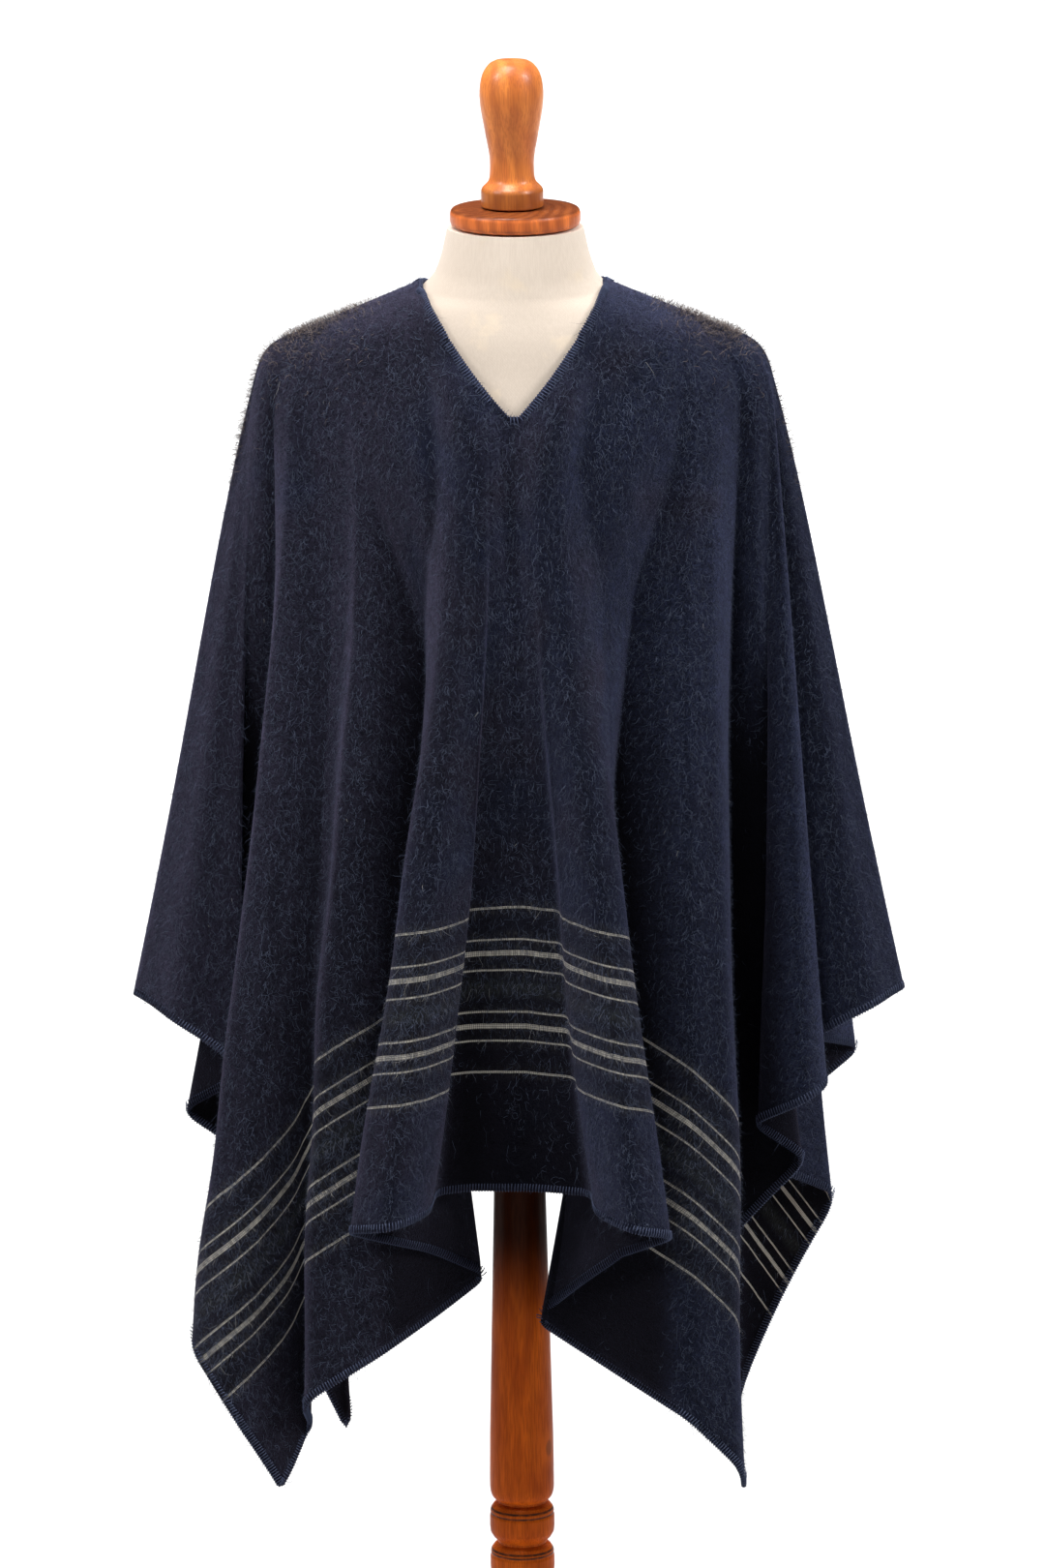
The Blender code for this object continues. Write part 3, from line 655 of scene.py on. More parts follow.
def brushed_navy():
    n = Finish("brushed_navy_alpaca")
    place = n.add("ShaderNodeUVMap", uv_map="cloth").outputs[0]
    apart = n.apart(place)
    across, down = apart["X"], apart["Y"]
    from_fold = n.math("ABSOLUTE", down)
    wander = n.noise(n.stretch(place, (60.0, 6.0, 1.0)), 1.0, 2.0)
    hem = n.plus(n.minus(HALF_LENGTH, from_fold), n.times(n.minus(wander, 0.5), WEAVE_WANDER))
    stripes, halo = 0.0, 0.0
    for centre, half in STRIPES:
        mask = n.group(STRIPE, Distance=hem, Centre=centre, Half_width=half, Rim=STRIPE_RIM)
        stripes = n.math("MAXIMUM", mask, stripes)
        around = n.group(STRIPE, Distance=hem, Centre=centre, Half_width=half, Rim=HAZE_RIM)
        halo = n.math("MAXIMUM", around, halo)
    band = n.group(STRIPE, Distance=hem, Centre=NAP_BAND, Half_width=NAP_BAND_HALF, Rim=HAZE_RIM)
    ground = n.group(STRIPE, Distance=hem, Centre=GROUND_MIDDLE, Half_width=GROUND_HALF, Rim=GROUND_RIM)
    hairs = n.group(THREADS, Vector=place, Across=1500.0, Along=170.0)
    fluff = n.group(THREADS, Vector=place, Across=520.0, Along=120.0)
    # twill: pale dots on a slant
    warp, weft = n.times(across, TWILL), n.times(down, TWILL)
    dots = n.times(n.math("SINE", n.plus(warp, weft)), n.math("SINE", n.minus(warp, weft)))
    dots = n.span(dots, -0.30, 0.30, 0.30, 1.0)
    blotch = n.noise(place, 38.0, 3.0)
    patch = n.span(n.minus(n.noise(place, 9.0, 2.0), n.times(across, 0.6)), 0.35, 0.65)
    # sheen of the nap: dull from straight ahead, brighter where the cloth turns away
    facing = n.add("ShaderNodeLayerWeight", {"Blend": 0.5}).outputs["Facing"]
    sheen = n.math("POWER", facing, 0.65, clamp=True)
    navy = n.mix(sheen, n.mix(patch, BLUE_AHEAD, PURPLE_AHEAD), n.mix(patch, BLUE_ASLANT, PURPLE_ASLANT))
    navy = n.mix(n.times(ground, 0.6), navy, STRIPE_GROUND)
    # painted light: lighter on the chest, a little more so on its left; painted shade: darker in the folds
    felt = n.span(n.noise(place, 330.0, 5.0, 0.7, 1.6), 0.32, 0.68)
    chest_painted_light = n.minus(n.span(from_fold, 0.02, 0.16, 0.85, 1.5), n.span(from_fold, 0.24, 0.50, 0.0, 0.5))
    left_chest_painted_light = n.times(n.span(across, -0.32, -0.08, 0.2, 0.0), n.span(from_fold, 0.15, 0.45, 1.0, 0.0))
    # the nap's streaks, blotches and felt, together with the painted light on the chest
    light = n.plus(n.span(hairs, 0.0, 1.0, 0.70, 1.25), n.span(blotch, 0.3, 0.7, -0.14, 0.14))
    light = n.times(light, n.plus(chest_painted_light, left_chest_painted_light), n.span(felt, 0.0, 1.0, 0.50, 1.55))
    shade = n.attribute("fold_shade")
    open_to_light = n.span(shade, 0.08, 0.34, 1.0, 0.15)
    navy = n.toned(navy, n.times(light, n.span(shade, 0.02, 0.37, 1.0, 0.04)))
    # pale fluff haze round the stripes, shown only where the folds leave the cloth open to light: part real
    # fluff, part painted sheen; the stripes show less under it
    fluff_haze_and_sheen = n.times(halo, fluff, n.span(hairs, 0.40, 0.9, 0.0, 0.55), open_to_light)
    colour = n.mix(fluff_haze_and_sheen, navy, HAZE_AND_SHEEN_PALE)
    colour = n.mix(n.times(band, n.span(hairs, 0.3, 1.0, 0.1, 0.6), 0.8), colour, NAP_BAND_GREEN)
    showing = n.times(stripes, dots, n.minus(1.0, n.times(fluff, open_to_light, 0.75)))
    relief = n.plus(n.times(hairs, 0.3), n.times(felt, 0.9))
    return n.close(
        Base_Color=n.mix(showing, colour, STRIPE_PALE), Normal=n.bump(relief, 0.6, 0.0016), Roughness=0.95,
        Sheen_Weight=0.10, Sheen_Roughness=0.5, Sheen_Tint=(0.56, 0.54, 0.90, 1.0), Specular_IOR_Level=0.05,
    )


def loose_hair():
    n = Finish("loose_alpaca_hair")
    tint = n.attribute("tint")
    blue = n.mix(n.span(tint, 0.0, 0.3), (0.010, 0.012, 0.022), (0.060, 0.074, 0.120))
    colour = n.mix(n.span(tint, 0.3, 1.0), blue, (0.30, 0.29, 0.27))
    return n.close(Base_Color=colour, Roughness=0.8, Specular_IOR_Level=0.2)


def shoulder_fuzz():
    n = Finish("pale_shoulder_fuzz")
    colour = n.mix(n.attribute("tint"), (0.022, 0.021, 0.030), (0.19, 0.148, 0.128))
    return n.close(Base_Color=colour, Roughness=0.8, Specular_IOR_Level=0.2)


def edging_thread():
    n = Finish("edging_thread")
    colour = n.mix(n.noise(n.own_place(), 400.0, 2.0), (0.030, 0.040, 0.082), (0.072, 0.088, 0.155))
    return n.close(Base_Color=colour, Roughness=0.8, Specular_IOR_Level=0.25)


LINEN_WEAVE = 5200.0


def linen():
    n = Finish("cream_linen")
    place = n.own_place()
    apart = n.apart(place)
    across, level = apart["X"], apart["Z"]
    uneven = n.noise(n.stretch(place, (40.0, 40.0, 700.0)), 1.0, 2.0)
    upright = n.noise(n.stretch(place, (900.0, 900.0, 30.0)), 1.0, 2.0)
    weft, warp = (n.math("SINE", n.times(way, LINEN_WEAVE)) for way in (level, across))
    weave = n.plus(n.times(weft, warp), n.times(n.plus(uneven, upright), 0.4))
    base = n.mix(n.span(upright, 0.35, 0.7), (0.55, 0.465, 0.385), (0.585, 0.500, 0.418))
    # painted light: the linen lighter towards the top of the neck and darker lower down
    base = n.toned(base, n.span(level, 1.41, 1.475, 0.92, 1.26))
    stain_and_painted_light = n.noise(place, 26.0, 4.0)
    base = n.mix(n.times(n.span(stain_and_painted_light, 0.60, 0.74), 0.35), base, (0.74, 0.60, 0.42))
    # painted shade: the neck darker towards its left side
    base = n.mix(n.span(across, -0.10, 0.0, 0.50, 0.0), base, (0.30, 0.24, 0.19))
    drips = n.times(n.span(n.noise(place, 150.0, 1.0), 0.62, 0.70), n.span(level, 1.488, 1.503, 0.0, 0.5))
    base = n.mix(drips, base, (0.60, 0.33, 0.14))
    return n.close(Base_Color=base, Normal=n.bump(weave, 0.25, 0.0004), Roughness=0.85, Sheen_Weight=0.15)


def grain_group():
    """Wood figure: rings seen on the side of a turned piece, fine pores and slow patches."""
    tree, n, given, gives = group_tree(
        "turned_figure", {"Vector": "Vector", "Rings": "Float"}, ["Figure", "Pores", "Patches"]
    )
    place = given["Vector"]
    bent = n.noise(n.stretch(place, (17.0, 17.0, 12.0)), 1.0, 2.0)
    off = n.apart(place)
    # the log's heart lies beside the turned piece's own middle
    beside, behind = (n.math("POWER", n.plus(off[way], by), 2.0) for way, by in (("X", 0.035), ("Y", 0.012)))
    phase = n.plus(n.times(n.math("SQRT", n.plus(beside, behind)), given["Rings"]), n.times(bent, 14.0))
    wave = n.math("SINE", n.plus(phase, n.times(off["Z"], 22.0)))
    n.put(gives["Figure"], n.span(wave, -0.9, 1.0))
    n.put(gives["Pores"], n.span(n.noise(n.stretch(place, (900.0, 900.0, 45.0)), 1.0, 2.0), 0.42, 0.62))
    patches = n.noise(n.stretch(place, (30.0, 30.0, 9.0)), 1.0, 3.0, 0.5, 1.2)
    n.put(gives["Patches"], n.span(patches, 0.32, 0.66))
    return tree


FIGURE = grain_group()
GROOVE_DIRT, KNOT_DARK = (0.035, 0.024, 0.018), (0.018, 0.016, 0.012)


def varnished_wood(name, pale, mid, dark, rings, ring_levels=(), knot=None, gloss=0.3, figured=0.5, stain_and_painted_light=None):
    n = Finish(name)
    place = n.own_place()
    figure = n.add("ShaderNodeGroup", {"Vector": place, "Rings": rings}, node_tree=FIGURE).outputs
    colour = n.mix(n.times(figure["Patches"], 0.8), pale, mid)
    colour = n.mix(n.times(figure["Figure"], figured), colour, dark)
    colour = n.mix(n.times(figure["Pores"], 0.35), colour, dark)
    level = n.apart(place)["Z"]
    # painted light and shade: the wood made lighter or darker by height
    if stain_and_painted_light:
        colour = n.toned(colour, n.span(level, *stain_and_painted_light))
    for height, half in ring_levels:
        line = n.group(STRIPE, Distance=level, Centre=height, Half_width=half, Rim=half)
        rubbed = n.noise(n.stretch(place, (160.0, 160.0, 500.0)), 1.0, 2.0)
        colour = n.mix(n.times(line, n.span(rubbed, 0.2, 0.6, 0.4, 0.95)), colour, GROOVE_DIRT)
    if knot:
        off = n.add("ShaderNodeVectorMath", operation="SUBTRACT")
        n.put(off.inputs[0], place)
        n.put(off.inputs[1], knot)
        away = n.add("ShaderNodeVectorMath", operation="LENGTH")
        n.put(away.inputs[0], n.stretch(off.outputs[0], (1.0, 1.0, 0.7)))
        away = away.outputs["Value"]
        colour = n.mix(n.span(away, 0.0035, 0.0065, 0.9, 0.0), colour, KNOT_DARK)
        colour = n.mix(n.span(away, 0.006, 0.016, 0.45, 0.0), colour, pale)
    return n.close(
        Base_Color=colour, Roughness=n.span(figure["Pores"], 0.0, 1.0, 0.34, 0.50),
        Normal=n.bump(figure["Pores"], 0.12, 0.0004), Coat_Weight=gloss * 0.5, Coat_Roughness=0.22,
        Specular_IOR_Level=gloss,
    )


# ---------------------------------------------------------------- poncho
navy_finish = brushed_navy()
points, faces, uvs, shades = poncho_mesh()
poncho = new_piece("poncho", points, faces, navy_finish)
layer = poncho.data.uv_layers.new(name="cloth")
layer.data.foreach_set("uv", np.array([c for f in uvs for c in f], dtype=np.float32).ravel())
shade_layer = poncho.data.attributes.new("fold_shade", "FLOAT", "POINT")
shade_layer.data.foreach_set("value", np.array(shades, np.float32))
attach(poncho, "root")


def select_only(piece):
    bpy.ops.object.select_all(action="DESELECT")
    piece.select_set(True)
    bpy.context.view_layer.objects.active = piece


def apply_modifier(piece, name, kind, **settings):
    select_only(piece)
    modifier = piece.modifiers.new(name, kind)
    for key, value in settings.items():
        setattr(modifier, key, value)
    bpy.ops.object.modifier_apply(modifier=name)


select_only(poncho)
bpy.ops.object.mode_set(mode="EDIT")
bpy.ops.mesh.select_all(action="SELECT")
bpy.ops.mesh.remove_doubles(threshold=0.00002)
bpy.ops.object.mode_set(mode="OBJECT")
apply_modifier(poncho, "wall", "SOLIDIFY", thickness=CLOTH_WALL, offset=0.0, use_rim=True)
# the second half of the corners is the inner side, in the shade of the whole cloth
shaded = poncho.data.attributes["fold_shade"].data
shades = np.empty(len(shaded), np.float32)
shaded.foreach_get("value", shades)
shades[len(shades) // 2 :] = INNER_SHADE
shaded.foreach_set("value", shades)
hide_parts("poncho_front", "poncho_back")


# ---------------------------------------------------------------- loose hair of the brushed nap
ROOT_DEPTH = CLOTH_WALL * 0.45
LONG_SHARE, STRAY_SHARE = 0.16, 0.0006
LONG_HAIR, SHORT_HAIR = (0.009, 0.022), (0.0035, 0.008)
LONG_LIFT, SHORT_LIFT = (0.10, 0.45), (0.30, 0.95)
LONG_HALF, SHORT_HALF, CURL_HALF = 0.00011, 0.00013, 0.00014


def ride_with_cloth(piece):
    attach(piece, "root")
    return piece


def scatter(area, count, rng):
    """Cells of a face, the larger the likelier, and a place in each."""
    cell = rng.choice(area.size, size=count, p=(area / area.sum()).ravel())
    return *np.unravel_index(cell, area.shape), rng.random(count)[:, None], rng.random(count)[:, None]


def tint_hairs(piece, tints, corner_count):
    attribute = piece.data.attributes.new("tint", "FLOAT", "POINT")
    attribute.data.foreach_set("value", np.repeat(tints, corner_count).astype(np.float32))


def hairs(name, grid, uv, face, count, reverse, rng, finish):
    """Short curved hairs that stand off one side of a face."""
    normals, down = face_normals(grid, face), unit(np.gradient(grid, axis=1))
    if reverse:
        normals = -normals
    a, b, c, d = grid[:-1, :-1], grid[1:, :-1], grid[:-1, 1:], grid[1:, 1:]
    area = np.linalg.norm(np.cross(b - a, c - a), axis=-1) + np.linalg.norm(np.cross(b - d, c - d), axis=-1)
    if not reverse:
        area = area * everywhere(grid, face)[:-1, :-1]
    i, j, s, t = scatter(area, count, rng)

    def at(field):
        return (
            field[i, j] * (1 - s) * (1 - t) + field[i + 1, j] * s * (1 - t)
            + field[i, j + 1] * (1 - s) * t + field[i + 1, j + 1] * s * t
        )

    root, normal, fall, place = at(grid), unit(at(normals)), unit(at(down)), at(uv)
    side = unit(np.cross(normal, fall))
    long_hair = rng.random(count) < LONG_SHARE
    length = np.where(long_hair, rng.uniform(*LONG_HAIR, count), rng.uniform(*SHORT_HAIR, count))[:, None]
    swing = rng.normal(0, 0.55, count)[:, None]
    lift = np.where(long_hair, rng.uniform(*LONG_LIFT, count), rng.uniform(*SHORT_LIFT, count))[:, None]
    curl = rng.normal(0, 0.7, count)[:, None]

    def heading(turn, rise):
        return unit((fall * np.cos(turn) + side * np.sin(turn)) * np.cos(rise) + normal * np.sin(rise))

    first, second = heading(swing, lift), heading(swing + curl, lift * 0.3)
    root = root + normal * ROOT_DEPTH
    middle = root + first * length * 0.5
    tip = middle + second * length * 0.5
    broad = unit(np.cross(normal, first)) * np.where(long_hair, LONG_HALF, SHORT_HALF)[:, None]
    corners = np.stack([root - broad, root + broad, middle + broad * 0.8, middle - broad * 0.8, tip], 1)
    start = np.arange(count)[:, None] * 5
    quads, tips = (start + [0, 1, 2, 3]).tolist(), (start + [3, 2, 4]).tolist()
    piece = new_piece(name, corners.reshape(-1, 3), quads + tips, finish)
    # pale hairs near the stripes and over the nap band, and a few anywhere
    hem = HALF_LENGTH - np.abs(place[:, 1])
    near = np.zeros(count)
    for centre, half in STRIPES:
        near = np.maximum(near, np.clip(1 - (np.abs(hem - centre) - half) / 0.004, 0, 1) * (0.55 + 60 * half))
    near = np.maximum(near, 0.42 * np.clip(1 - np.abs(hem - NAP_BAND) / 0.012, 0, 1))
    tint = near * rng.uniform(0.2, 1.0, count) + 0.3 * rng.random(count) ** 1.6
    pale = rng.random(count) < STRAY_SHARE
    tint_hairs(piece, np.clip(np.where(pale, rng.uniform(0.4, 0.9, count), tint), 0, 1), 5)
    return ride_with_cloth(piece)


def curls(name, grid, face, count, weight, lengths, lifts, tints, rng, finish):
    """Longer curled hairs; weight says where on the face they grow."""
    normals, down = face_normals(grid, face), unit(np.gradient(grid, axis=1))
    a, b, c = grid[:-1, :-1], grid[1:, :-1], grid[:-1, 1:]
    area = np.linalg.norm(np.cross(b - a, c - a), axis=-1) * weight(grid, face)[:-1, :-1]
    i, j, s, t = scatter(area, count, rng)
    root = grid[i, j] + (grid[i + 1, j] - grid[i, j]) * s + (grid[i, j + 1] - grid[i, j]) * t
    normal, fall = normals[i, j], down[i, j]
    side = unit(np.cross(normal, fall))
    bends = 4
    step = (rng.uniform(*lengths, count) / bends)[:, None]
    heading, bend = rng.uniform(-2.6, 2.6, count), rng.normal(0, 0.75, count)
    lift = rng.uniform(*lifts, count)
    place, line = root + normal * ROOT_DEPTH, []
    for k in range(bends + 1):
        line.append(place)
        lean = (lift * (1 - 0.35 * k))[:, None]
        way = fall * np.cos(heading)[:, None] + side * np.sin(heading)[:, None]
        place = place + (way * np.cos(lean) + normal * np.sin(lean)) * step
        heading = heading + bend + rng.normal(0, 0.35, count)
    line = np.stack(line, 1)
    broad = unit(np.cross(np.gradient(line, axis=1), normal[:, None])) * CURL_HALF
    broad = broad[:, :-1] * np.array((1.0, 0.95, 0.85, 0.7))[:, None]
    both = np.stack([line[:, :-1] - broad, line[:, :-1] + broad], 2)
    corners = np.concatenate([both.reshape(count, 8, 3), line[:, -1:]], 1)
    start = np.arange(count)[:, None] * 9
    quads = np.concatenate([start + [2 * k, 2 * k + 1, 2 * k + 3, 2 * k + 2] for k in range(3)]).tolist()
    piece = new_piece(name, corners.reshape(-1, 3), quads + (start + [6, 7, 8]).tolist(), finish)
    tint_hairs(piece, rng.uniform(*tints, count), 9)
    return ride_with_cloth(piece)


def everywhere(places, face):
    """All over, but few in the shade of the folds."""
    return np.clip(1.1 - 3.2 * fold_shade(places, face), 0.02, 1.0)


def on_shoulders(places, face):
    """Along the fold of the shoulder and the top of the sides, where the nap stands up."""
    columns, rows = np.indices(places.shape[:2])
    near_fold = np.exp(-rows / 1.2) + 0.5 * np.exp(-np.minimum(columns, places.shape[0] - 1 - columns) / 2.0)
    return near_fold * smooth((places[..., 2] - 1.24) / 0.1) * smooth((np.abs(places[..., 0]) - 0.10) / 0.12)


# lengths, lifts off the cloth in radians, tints
LOOSE_CURLS = (0.005, 0.012), (0.1, 0.6), (0.08, 0.27)
STANDING_FUZZ = (0.006, 0.012), (0.8, 1.5), (0.0, 1.0)
hair_finish, fuzz_finish = loose_hair(), shoulder_fuzz()
rng = np.random.default_rng(31)
nap = [
    hairs("nap_front", front, front_uv, -1, 62000, False, rng, hair_finish),
    hairs("nap_back", back, back_uv, 1, 44000, False, rng, hair_finish),
    hairs("nap_inside_front", front, front_uv, -1, 14000, True, rng, hair_finish),
    hairs("nap_inside_back", back, back_uv, 1, 12000, True, rng, hair_finish),
    curls("curls_front", front, -1, 20000, everywhere, *LOOSE_CURLS, rng, hair_finish),
    curls("curls_back", back, 1, 14000, everywhere, *LOOSE_CURLS, rng, hair_finish),
    curls("fuzz_front", front, -1, 2200, on_shoulders, *STANDING_FUZZ, rng, fuzz_finish),
    curls("fuzz_back", back, 1, 2200, on_shoulders, *STANDING_FUZZ, rng, fuzz_finish),
]


# ---------------------------------------------------------------- overlocked edge
STITCH_PITCH, HEM_REACH, NECK_REACH = 0.0026, 0.0065, 0.0075
THREAD_RADIUS, THREAD_OUT = 0.00050, 0.0009


def edge_path(grid, row, face, columns=slice(None)):
    """Places, inward directions and normals along one edge of a face."""
    place = grid[columns, row]
    inward = unit(grid[columns, 1 if row == 0 else -2] - place)
    return place, inward, face_normals(grid, face)[columns, row]


def overlock(name, paths, pitch, reach, finish):
    """Threads wrapped round an edge, one after another, each with three sides."""
    loops, radius, sides = [], THREAD_RADIUS, 3
    for place, inward, normal in paths:
        along = np.concatenate([[0], np.cumsum(np.linalg.norm(np.diff(place, axis=0), axis=1))])
        at = np.arange(pitch / 2, along[-1], pitch)

        def resample(field):
            return np.stack([np.interp(at, along, field[:, k]) for k in range(3)], -1)

        edge, w, n = resample(place), unit(resample(inward)), unit(resample(normal))
        way = unit(np.gradient(edge, axis=0))
        w = unit(w - way * np.sum(w * way, axis=1, keepdims=True))
        n = unit(np.cross(way, w)) * np.sign(np.sum(np.cross(way, w) * n, axis=1, keepdims=True))
        up, lean = CLOTH_WALL / 2 + radius, way * pitch * 0.25
        inward_end, middle = w * reach, w * reach * 0.45
        far, near = edge + inward_end, edge + middle
        outside = [far + n * up + lean, near + n * (up + 0.0003) + lean * 0.5, edge + n * up]
        inside = [edge - n * up, near - n * (up + 0.0003) - lean * 0.5, far - n * up - lean]
        loops.append(np.stack([*outside, edge - w * THREAD_OUT, *inside], 1))
    loops = np.concatenate(loops)
    count, bends = loops.shape[:2]
    way = unit(np.gradient(loops, axis=1))
    across = unit(np.cross(way, np.roll(way, 1, axis=1) + np.array((0.31, 0.17, 0.23))))
    third = np.cross(way, across)
    angles = [k * math.tau / sides for k in range(sides)]
    rings = np.stack([loops + radius * (across * math.cos(a) + third * math.sin(a)) for a in angles], 2)
    base = np.arange(count)[:, None] * bends * sides
    quads = []
    for j in range(bends - 1):
        for k in range(sides):
            m = (k + 1) % sides
            quads.append(base + [j * sides + k, j * sides + m, (j + 1) * sides + m, (j + 1) * sides + k])
    quads = np.concatenate(quads).tolist()
    ends = (base + [0, 2, 1]).tolist() + (base + [(bends - 1) * sides + k for k in range(sides)]).tolist()
    return ride_with_cloth(new_piece(name, rings.reshape(-1, 3), quads + ends, finish))


def neck_columns(grains):
    return [i for i, g in enumerate(grains) if abs(g) <= NECK_LEAN + 0.01]


thread_finish = edging_thread()
hem_paths = [edge_path(front, -1, -1), edge_path(back, -1, 1)]
neck_paths = [
    edge_path(front, 0, -1, neck_columns(front_grain)),
    edge_path(back, 0, 1, neck_columns(back_grain)),
]
hem_edging = overlock("hem_overlock", hem_paths, STITCH_PITCH, HEM_REACH, thread_finish)
neck_edging = overlock("neck_overlock", neck_paths, STITCH_PITCH, NECK_REACH, thread_finish)


# ---------------------------------------------------------------- turned and covered pieces, as by hand
def start_disc(name, radius_x, radius_y, level, around):
    """A filled disc at the foot of a piece, left in edit mode with all of it selected."""
    bpy.ops.object.select_all(action="DESELECT")
    bpy.ops.mesh.primitive_circle_add(vertices=around, radius=1.0, fill_type="NGON", location=(0, 0, level))
    piece = bpy.context.active_object
    piece.name = piece.data.name = name
    bpy.ops.object.mode_set(mode="EDIT")
    bpy.ops.mesh.select_all(action="SELECT")
    bpy.ops.transform.resize(value=(radius_x, radius_y, 1.0), center_override=(0, 0, level))
    return piece


def pull_up(rise, grow_x, grow_y, level, centre=(0.0, 0.0), shift=(0.0, 0.0)):
    """Extrudes the selected end up to the next level and sizes it there."""
    bpy.ops.mesh.extrude_region_move(TRANSFORM_OT_translate={"value": (*shift, rise)})
    bpy.ops.transform.resize(value=(grow_x, grow_y, 1.0), center_override=(*centre, level))


def finish_solid(piece, finish, angle):
    bpy.ops.mesh.select_all(action="SELECT")
    bpy.ops.mesh.normals_make_consistent(inside=False)
    bpy.ops.object.mode_set(mode="OBJECT")
    bpy.ops.object.transform_apply(location=True, rotation=True, scale=True)
    bpy.ops.object.shade_smooth_by_angle(angle=math.radians(angle))
    piece.data.materials.clear()
    piece.data.materials.append(finish)
    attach(piece, "root")
    return piece


def turned_piece(name, profile, around, finish, angle, aside=0.0):
    """A turned solid drawn up from its foot; profile is (radius, height), from the bottom."""
    radius, level = profile[0]
    piece = start_disc(name, radius, radius, level, around)
    for new_radius, new_level in profile[1:]:
        grow = new_radius / radius
        pull_up(new_level - level, grow, grow, new_level)
        radius, level = new_radius, new_level
    bpy.ops.mesh.select_all(action="SELECT")
    bpy.ops.transform.translate(value=(aside, 0, 0))
    finish_solid(piece, finish, angle)
    return piece


def eased(points, count):
    """A smooth profile through a few (radius, height) points."""
    knots = np.array([points[0], *points, points[-1]], float)
    line = []
    for k in range(1, len(knots) - 2):
        a, b, c, d = knots[k - 1 : k + 3]
        for t in np.arange(count) / count:
            bend, twist = 2 * a - 5 * b + 4 * c - d, 3 * b - a - 3 * c + d
            line.append(0.5 * (2 * b + (c - a) * t + bend * t**2 + twist * t**3))
    return [tuple(float(x) for x in point) for point in line] + [tuple(points[-1])]


def corner(points, size, steps=4):
    """The profile with each corner rounded."""
    done = [points[0]]
    for before, at, after in zip(points, points[1:], points[2:]):
        before, at, after = Vector(before), Vector(at), Vector(after)
        a = at + (before - at).normalized() * min(size, (before - at).length * 0.45)
        b = at + (after - at).normalized() * min(size, (after - at).length * 0.45)
        for t in np.linspace(0, 1, steps):
            done.append(tuple((1 - t) ** 2 * a + 2 * t * (1 - t) * at + t**2 * b))
    return done + [points[-1]]


NECK_TOP = FORM_SECTIONS[-1][0]
GAP = 0.0003
# the cap is let into the neck's top, and both stand a little to one side
CAP_SUNK, NECK_ASIDE = 0.0035, 0.0024
CAP_BOTTOM = NECK_TOP - CAP_SUNK + GAP
FINIAL_BOTTOM = NECK_TOP + 0.0115 + 2 * GAP

# painted shade: the finial darker at its foot
finial_finish = varnished_wood(
    "finial_wood", (0.76, 0.245, 0.052), (0.57, 0.150, 0.034), (0.30, 0.062, 0.018), rings=420.0,
    stain_and_painted_light=(NECK_TOP + 0.026, NECK_TOP + 0.036, 0.60, 1.0), figured=0.38,
)
# painted light: the cap's rim twice as light and its top darker
cap_finish = varnished_wood(
    "cap_wood", (0.42, 0.110, 0.024), (0.26, 0.060, 0.016), (0.13, 0.026, 0.009), rings=700.0, gloss=0.2,
    stain_and_painted_light=(NECK_TOP + 0.0085, NECK_TOP + 0.0112, 2.0, 0.62),
)
# painted shade: the pole much darker towards its top, under the cloth
pole_finish = varnished_wood(
    "pole_wood", (0.72, 0.140, 0.010), (0.47, 0.075, 0.006), (0.20, 0.026, 0.004), rings=600.0,
    ring_levels=((0.3585, 0.0006), (0.3545, 0.0006), (0.3215, 0.0006), (0.3185, 0.0006)),
    knot=(0.0243, -0.0140, 0.4160), gloss=0.05, figured=0.16, stain_and_painted_light=(0.505, 0.615, 1.0, 0.06),
)
foot_finish = varnished_wood(
    "foot_wood", (0.46, 0.115, 0.020), (0.33, 0.074, 0.014), (0.17, 0.034, 0.008), rings=300.0, gloss=0.06,
    figured=0.16,
)

# profiles of the turned pieces: radius, height
FINIAL_SHAPE = (
    (0.0225, 0.0002), (0.0264, 0.0012), (0.0264, 0.0150), (0.0252, 0.0176), (0.0226, 0.0200),
)
FINIAL_STEM = (
    (0.0226, 0.0200), (0.0200, 0.0232), (0.0190, 0.0285), (0.0187, 0.0380), (0.0195, 0.0470),
    (0.0212, 0.0560), (0.0237, 0.0700), (0.0261, 0.0840), (0.0271, 0.0965), (0.0261, 0.1075),
    (0.0237, 0.1155), (0.0190, 0.1222), (0.0140, 0.1252),
)


CAP_SHAPE = (
    (0.0100, 0.0), (0.0530, 0.0), (0.0553, 0.003), (0.0553, 0.0118), (0.0535, 0.0150), (0.0100, 0.0150),
)


def lifted(profile, level):
    return [(radius, level + height) for radius, height in profile]


finial_profile = corner(lifted(FINIAL_SHAPE, FINIAL_BOTTOM), 0.0012)[:-1]
finial_profile += eased(lifted(FINIAL_STEM, FINIAL_BOTTOM), 4) + [(0.004, FINIAL_BOTTOM + 0.1255)]
finial = turned_piece("turned_finial", finial_profile, 72, finial_finish, 50)
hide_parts("finial")

cap_profile = corner(lifted(CAP_SHAPE, CAP_BOTTOM), 0.0022)
cap = turned_piece("turned_neck_cap", cap_profile, 96, cap_finish, 50, NECK_ASIDE)
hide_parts("neck_cap")

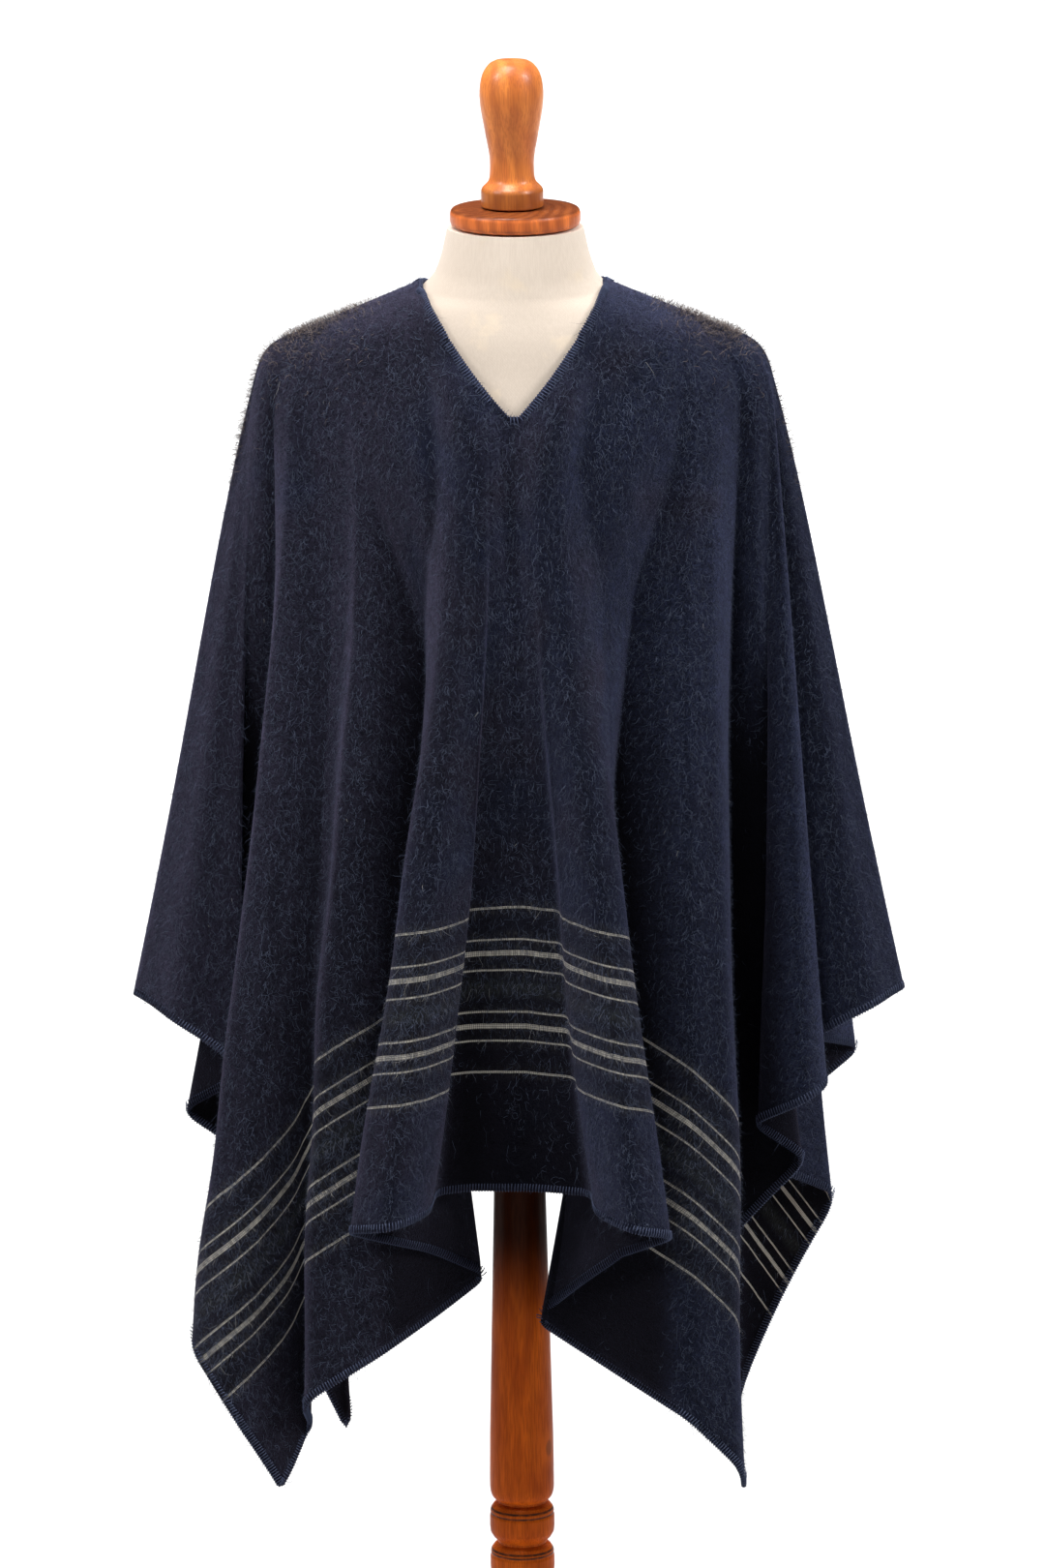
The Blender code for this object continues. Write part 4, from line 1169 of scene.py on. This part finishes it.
POLE_LOW = (
    (0.0360, 0.0303), (0.0370, 0.0400), (0.0360, 0.0460), (0.0310, 0.0520), (0.0262, 0.0620), (0.0258, 0.0900),
    (0.0250, 0.1500), (0.0243, 0.2200), (0.0236, 0.2700), (0.0226, 0.2830), (0.0205, 0.2900),
)
BEAD_LOW = (
    (0.0205, 0.2920), (0.0250, 0.2950), (0.0276, 0.3000), (0.0280, 0.3060), (0.0280, 0.3150), (0.0272, 0.3165),
    (0.0272, 0.3178), (0.0277, 0.3186), (0.0270, 0.3215), (0.0245, 0.3250), (0.0212, 0.3272),
)
BEAD_HIGH = (
    (0.0212, 0.3290), (0.0250, 0.3325), (0.0276, 0.3370), (0.0282, 0.3420), (0.0282, 0.3520), (0.0274, 0.3534),
    (0.0274, 0.3548), (0.0279, 0.3556), (0.0272, 0.3585), (0.0248, 0.3618), (0.0214, 0.3640),
)
SHAFT = (
    (0.0214, 0.3655), (0.0262, 0.3690), (0.0279, 0.3755), (0.0280, 0.3850), (0.0276, 0.4250), (0.0254, 0.5200),
    (0.0225, 0.6450), (0.0180, 0.8997),
)
pole_profile = [*corner(POLE_LOW, 0.002, 3), *corner(BEAD_LOW, 0.0008, 3)]
pole_profile += [*corner(BEAD_HIGH, 0.0008, 3), *corner(SHAFT, 0.003, 4)]
pole = turned_piece("turned_pole", pole_profile, 72, pole_finish, 45)
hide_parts("pole")

FOOT_SHAPE = (
    (0.186, 0.0), (0.196, 0.003), (0.200, 0.012), (0.1955, 0.0200),
    (0.150, 0.0245), (0.088, 0.0285), (0.070, 0.0300), (0.012, 0.0300),
)
foot = turned_piece("turned_foot", corner(FOOT_SHAPE, 0.004), 128, foot_finish, 50)
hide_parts("foot")


def covered_form(finish):
    """The torso and neck drawn up from its foot, level by level."""
    table = np.array(FORM_SECTIONS)
    levels = np.unique(np.concatenate([np.arange(0.9, 1.42, 0.02), np.arange(1.42, 1.494, 0.006), table[:, 0]]))
    levels = levels[levels < NECK_TOP - CAP_SUNK - 0.001].tolist() + [NECK_TOP - CAP_SUNK]
    steps = [(float(z), *(float(np.interp(z, table[:, 0], table[:, k])) for k in (1, 2, 3))) for z in levels]
    z, half, ahead, behind = steps[0]
    depth, middle, lean = (ahead + behind) / 2, (behind - ahead) / 2, 0.0
    piece = start_disc("linen_form", half, depth, z, 96)
    bpy.ops.transform.translate(value=(0, middle, 0))
    for new_z, new_half, new_ahead, new_behind in steps[1:]:
        new_depth, new_middle = (new_ahead + new_behind) / 2, (new_behind - new_ahead) / 2
        new_lean = NECK_ASIDE * float(smooth((new_z - 1.40) / 0.06))
        pull_up(
            new_z - z, new_half / half, new_depth / depth, new_z,
            (new_lean, new_middle), (new_lean - lean, new_middle - middle),
        )
        z, half, depth, middle, lean = new_z, new_half, new_depth, new_middle, new_lean
    finish_solid(piece, finish, 60)
    apply_modifier(piece, "even", "SMOOTH", factor=0.5, iterations=3)
    return piece


form = covered_form(linen())
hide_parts("form_body")

# ---------------------------------------------------------------- floor, light and camera
bpy.ops.object.select_all(action="DESELECT")
bpy.ops.mesh.primitive_plane_add(size=60, location=(0, 0, -0.0002))
floor = bpy.context.active_object
floor.name = "floor"
floor.data.materials.append(Finish("pale_floor").close(Base_Color=(0.42, 0.42, 0.42, 1.0), Roughness=0.95))

world = bpy.data.worlds.new("studio")
world.use_nodes = True
backdrop = world.node_tree.nodes["Background"].inputs
backdrop["Color"].default_value, backdrop["Strength"].default_value = (1.0, 1.0, 1.0, 1.0), 0.04
scene.world = world


def soft_light(name, place, aim, size, power):
    light = bpy.data.lights.new(name, "AREA")
    light.shape, light.size, light.size_y, light.energy = "RECTANGLE", size[0], size[1], power
    lamp = bpy.data.objects.new(name, light)
    scene.collection.objects.link(lamp)
    lamp.location = place
    lamp.rotation_euler = (Vector(aim) - Vector(place)).to_track_quat("-Z", "Y").to_euler()
    return lamp


soft_light("left_softbox", (-3.3, -1.5, 4.0), (0, 0, 1.1), (1.2, 1.9), 132)
soft_light("right_softbox", (3.3, -1.6, 3.8), (0, 0, 1.1), (1.1, 1.8), 162)
soft_light("top_softbox", (-0.7, -0.8, 4.8), (0, 0, 1.4), (1.6, 1.6), 175)
floor_wash = soft_light("floor_wash", (0, 7.4, 5.0), (0, 7.9, 0), (14.0, 10.0), 2700)
floor_wash.visible_glossy = False

CAMERA_AWAY, CAMERA_RISE, CAMERA_ROLL = 8.0, math.radians(13.0), math.radians(-0.43)
AIM, SEEN_HEIGHT, SENSOR = Vector((0.005, 0.0, 1.006)), 1.345, 36.0
camera_data = bpy.data.cameras.new("camera")
camera_data.sensor_fit = "VERTICAL"
camera_data.sensor_height = SENSOR
camera_data.lens = SENSOR * CAMERA_AWAY / SEEN_HEIGHT
camera_data.clip_end = 200.0
camera = bpy.data.objects.new("camera", camera_data)
scene.collection.objects.link(camera)
ahead = Vector((0, math.cos(CAMERA_RISE), -math.sin(CAMERA_RISE)))
turn = ahead.to_track_quat("-Z", "Y").to_matrix().to_4x4() @ Matrix.Rotation(CAMERA_ROLL, 4, "Z")
camera.matrix_world = Matrix.Translation(AIM - CAMERA_AWAY * ahead) @ turn
scene.camera = camera
scene.view_settings.view_transform = "Standard"
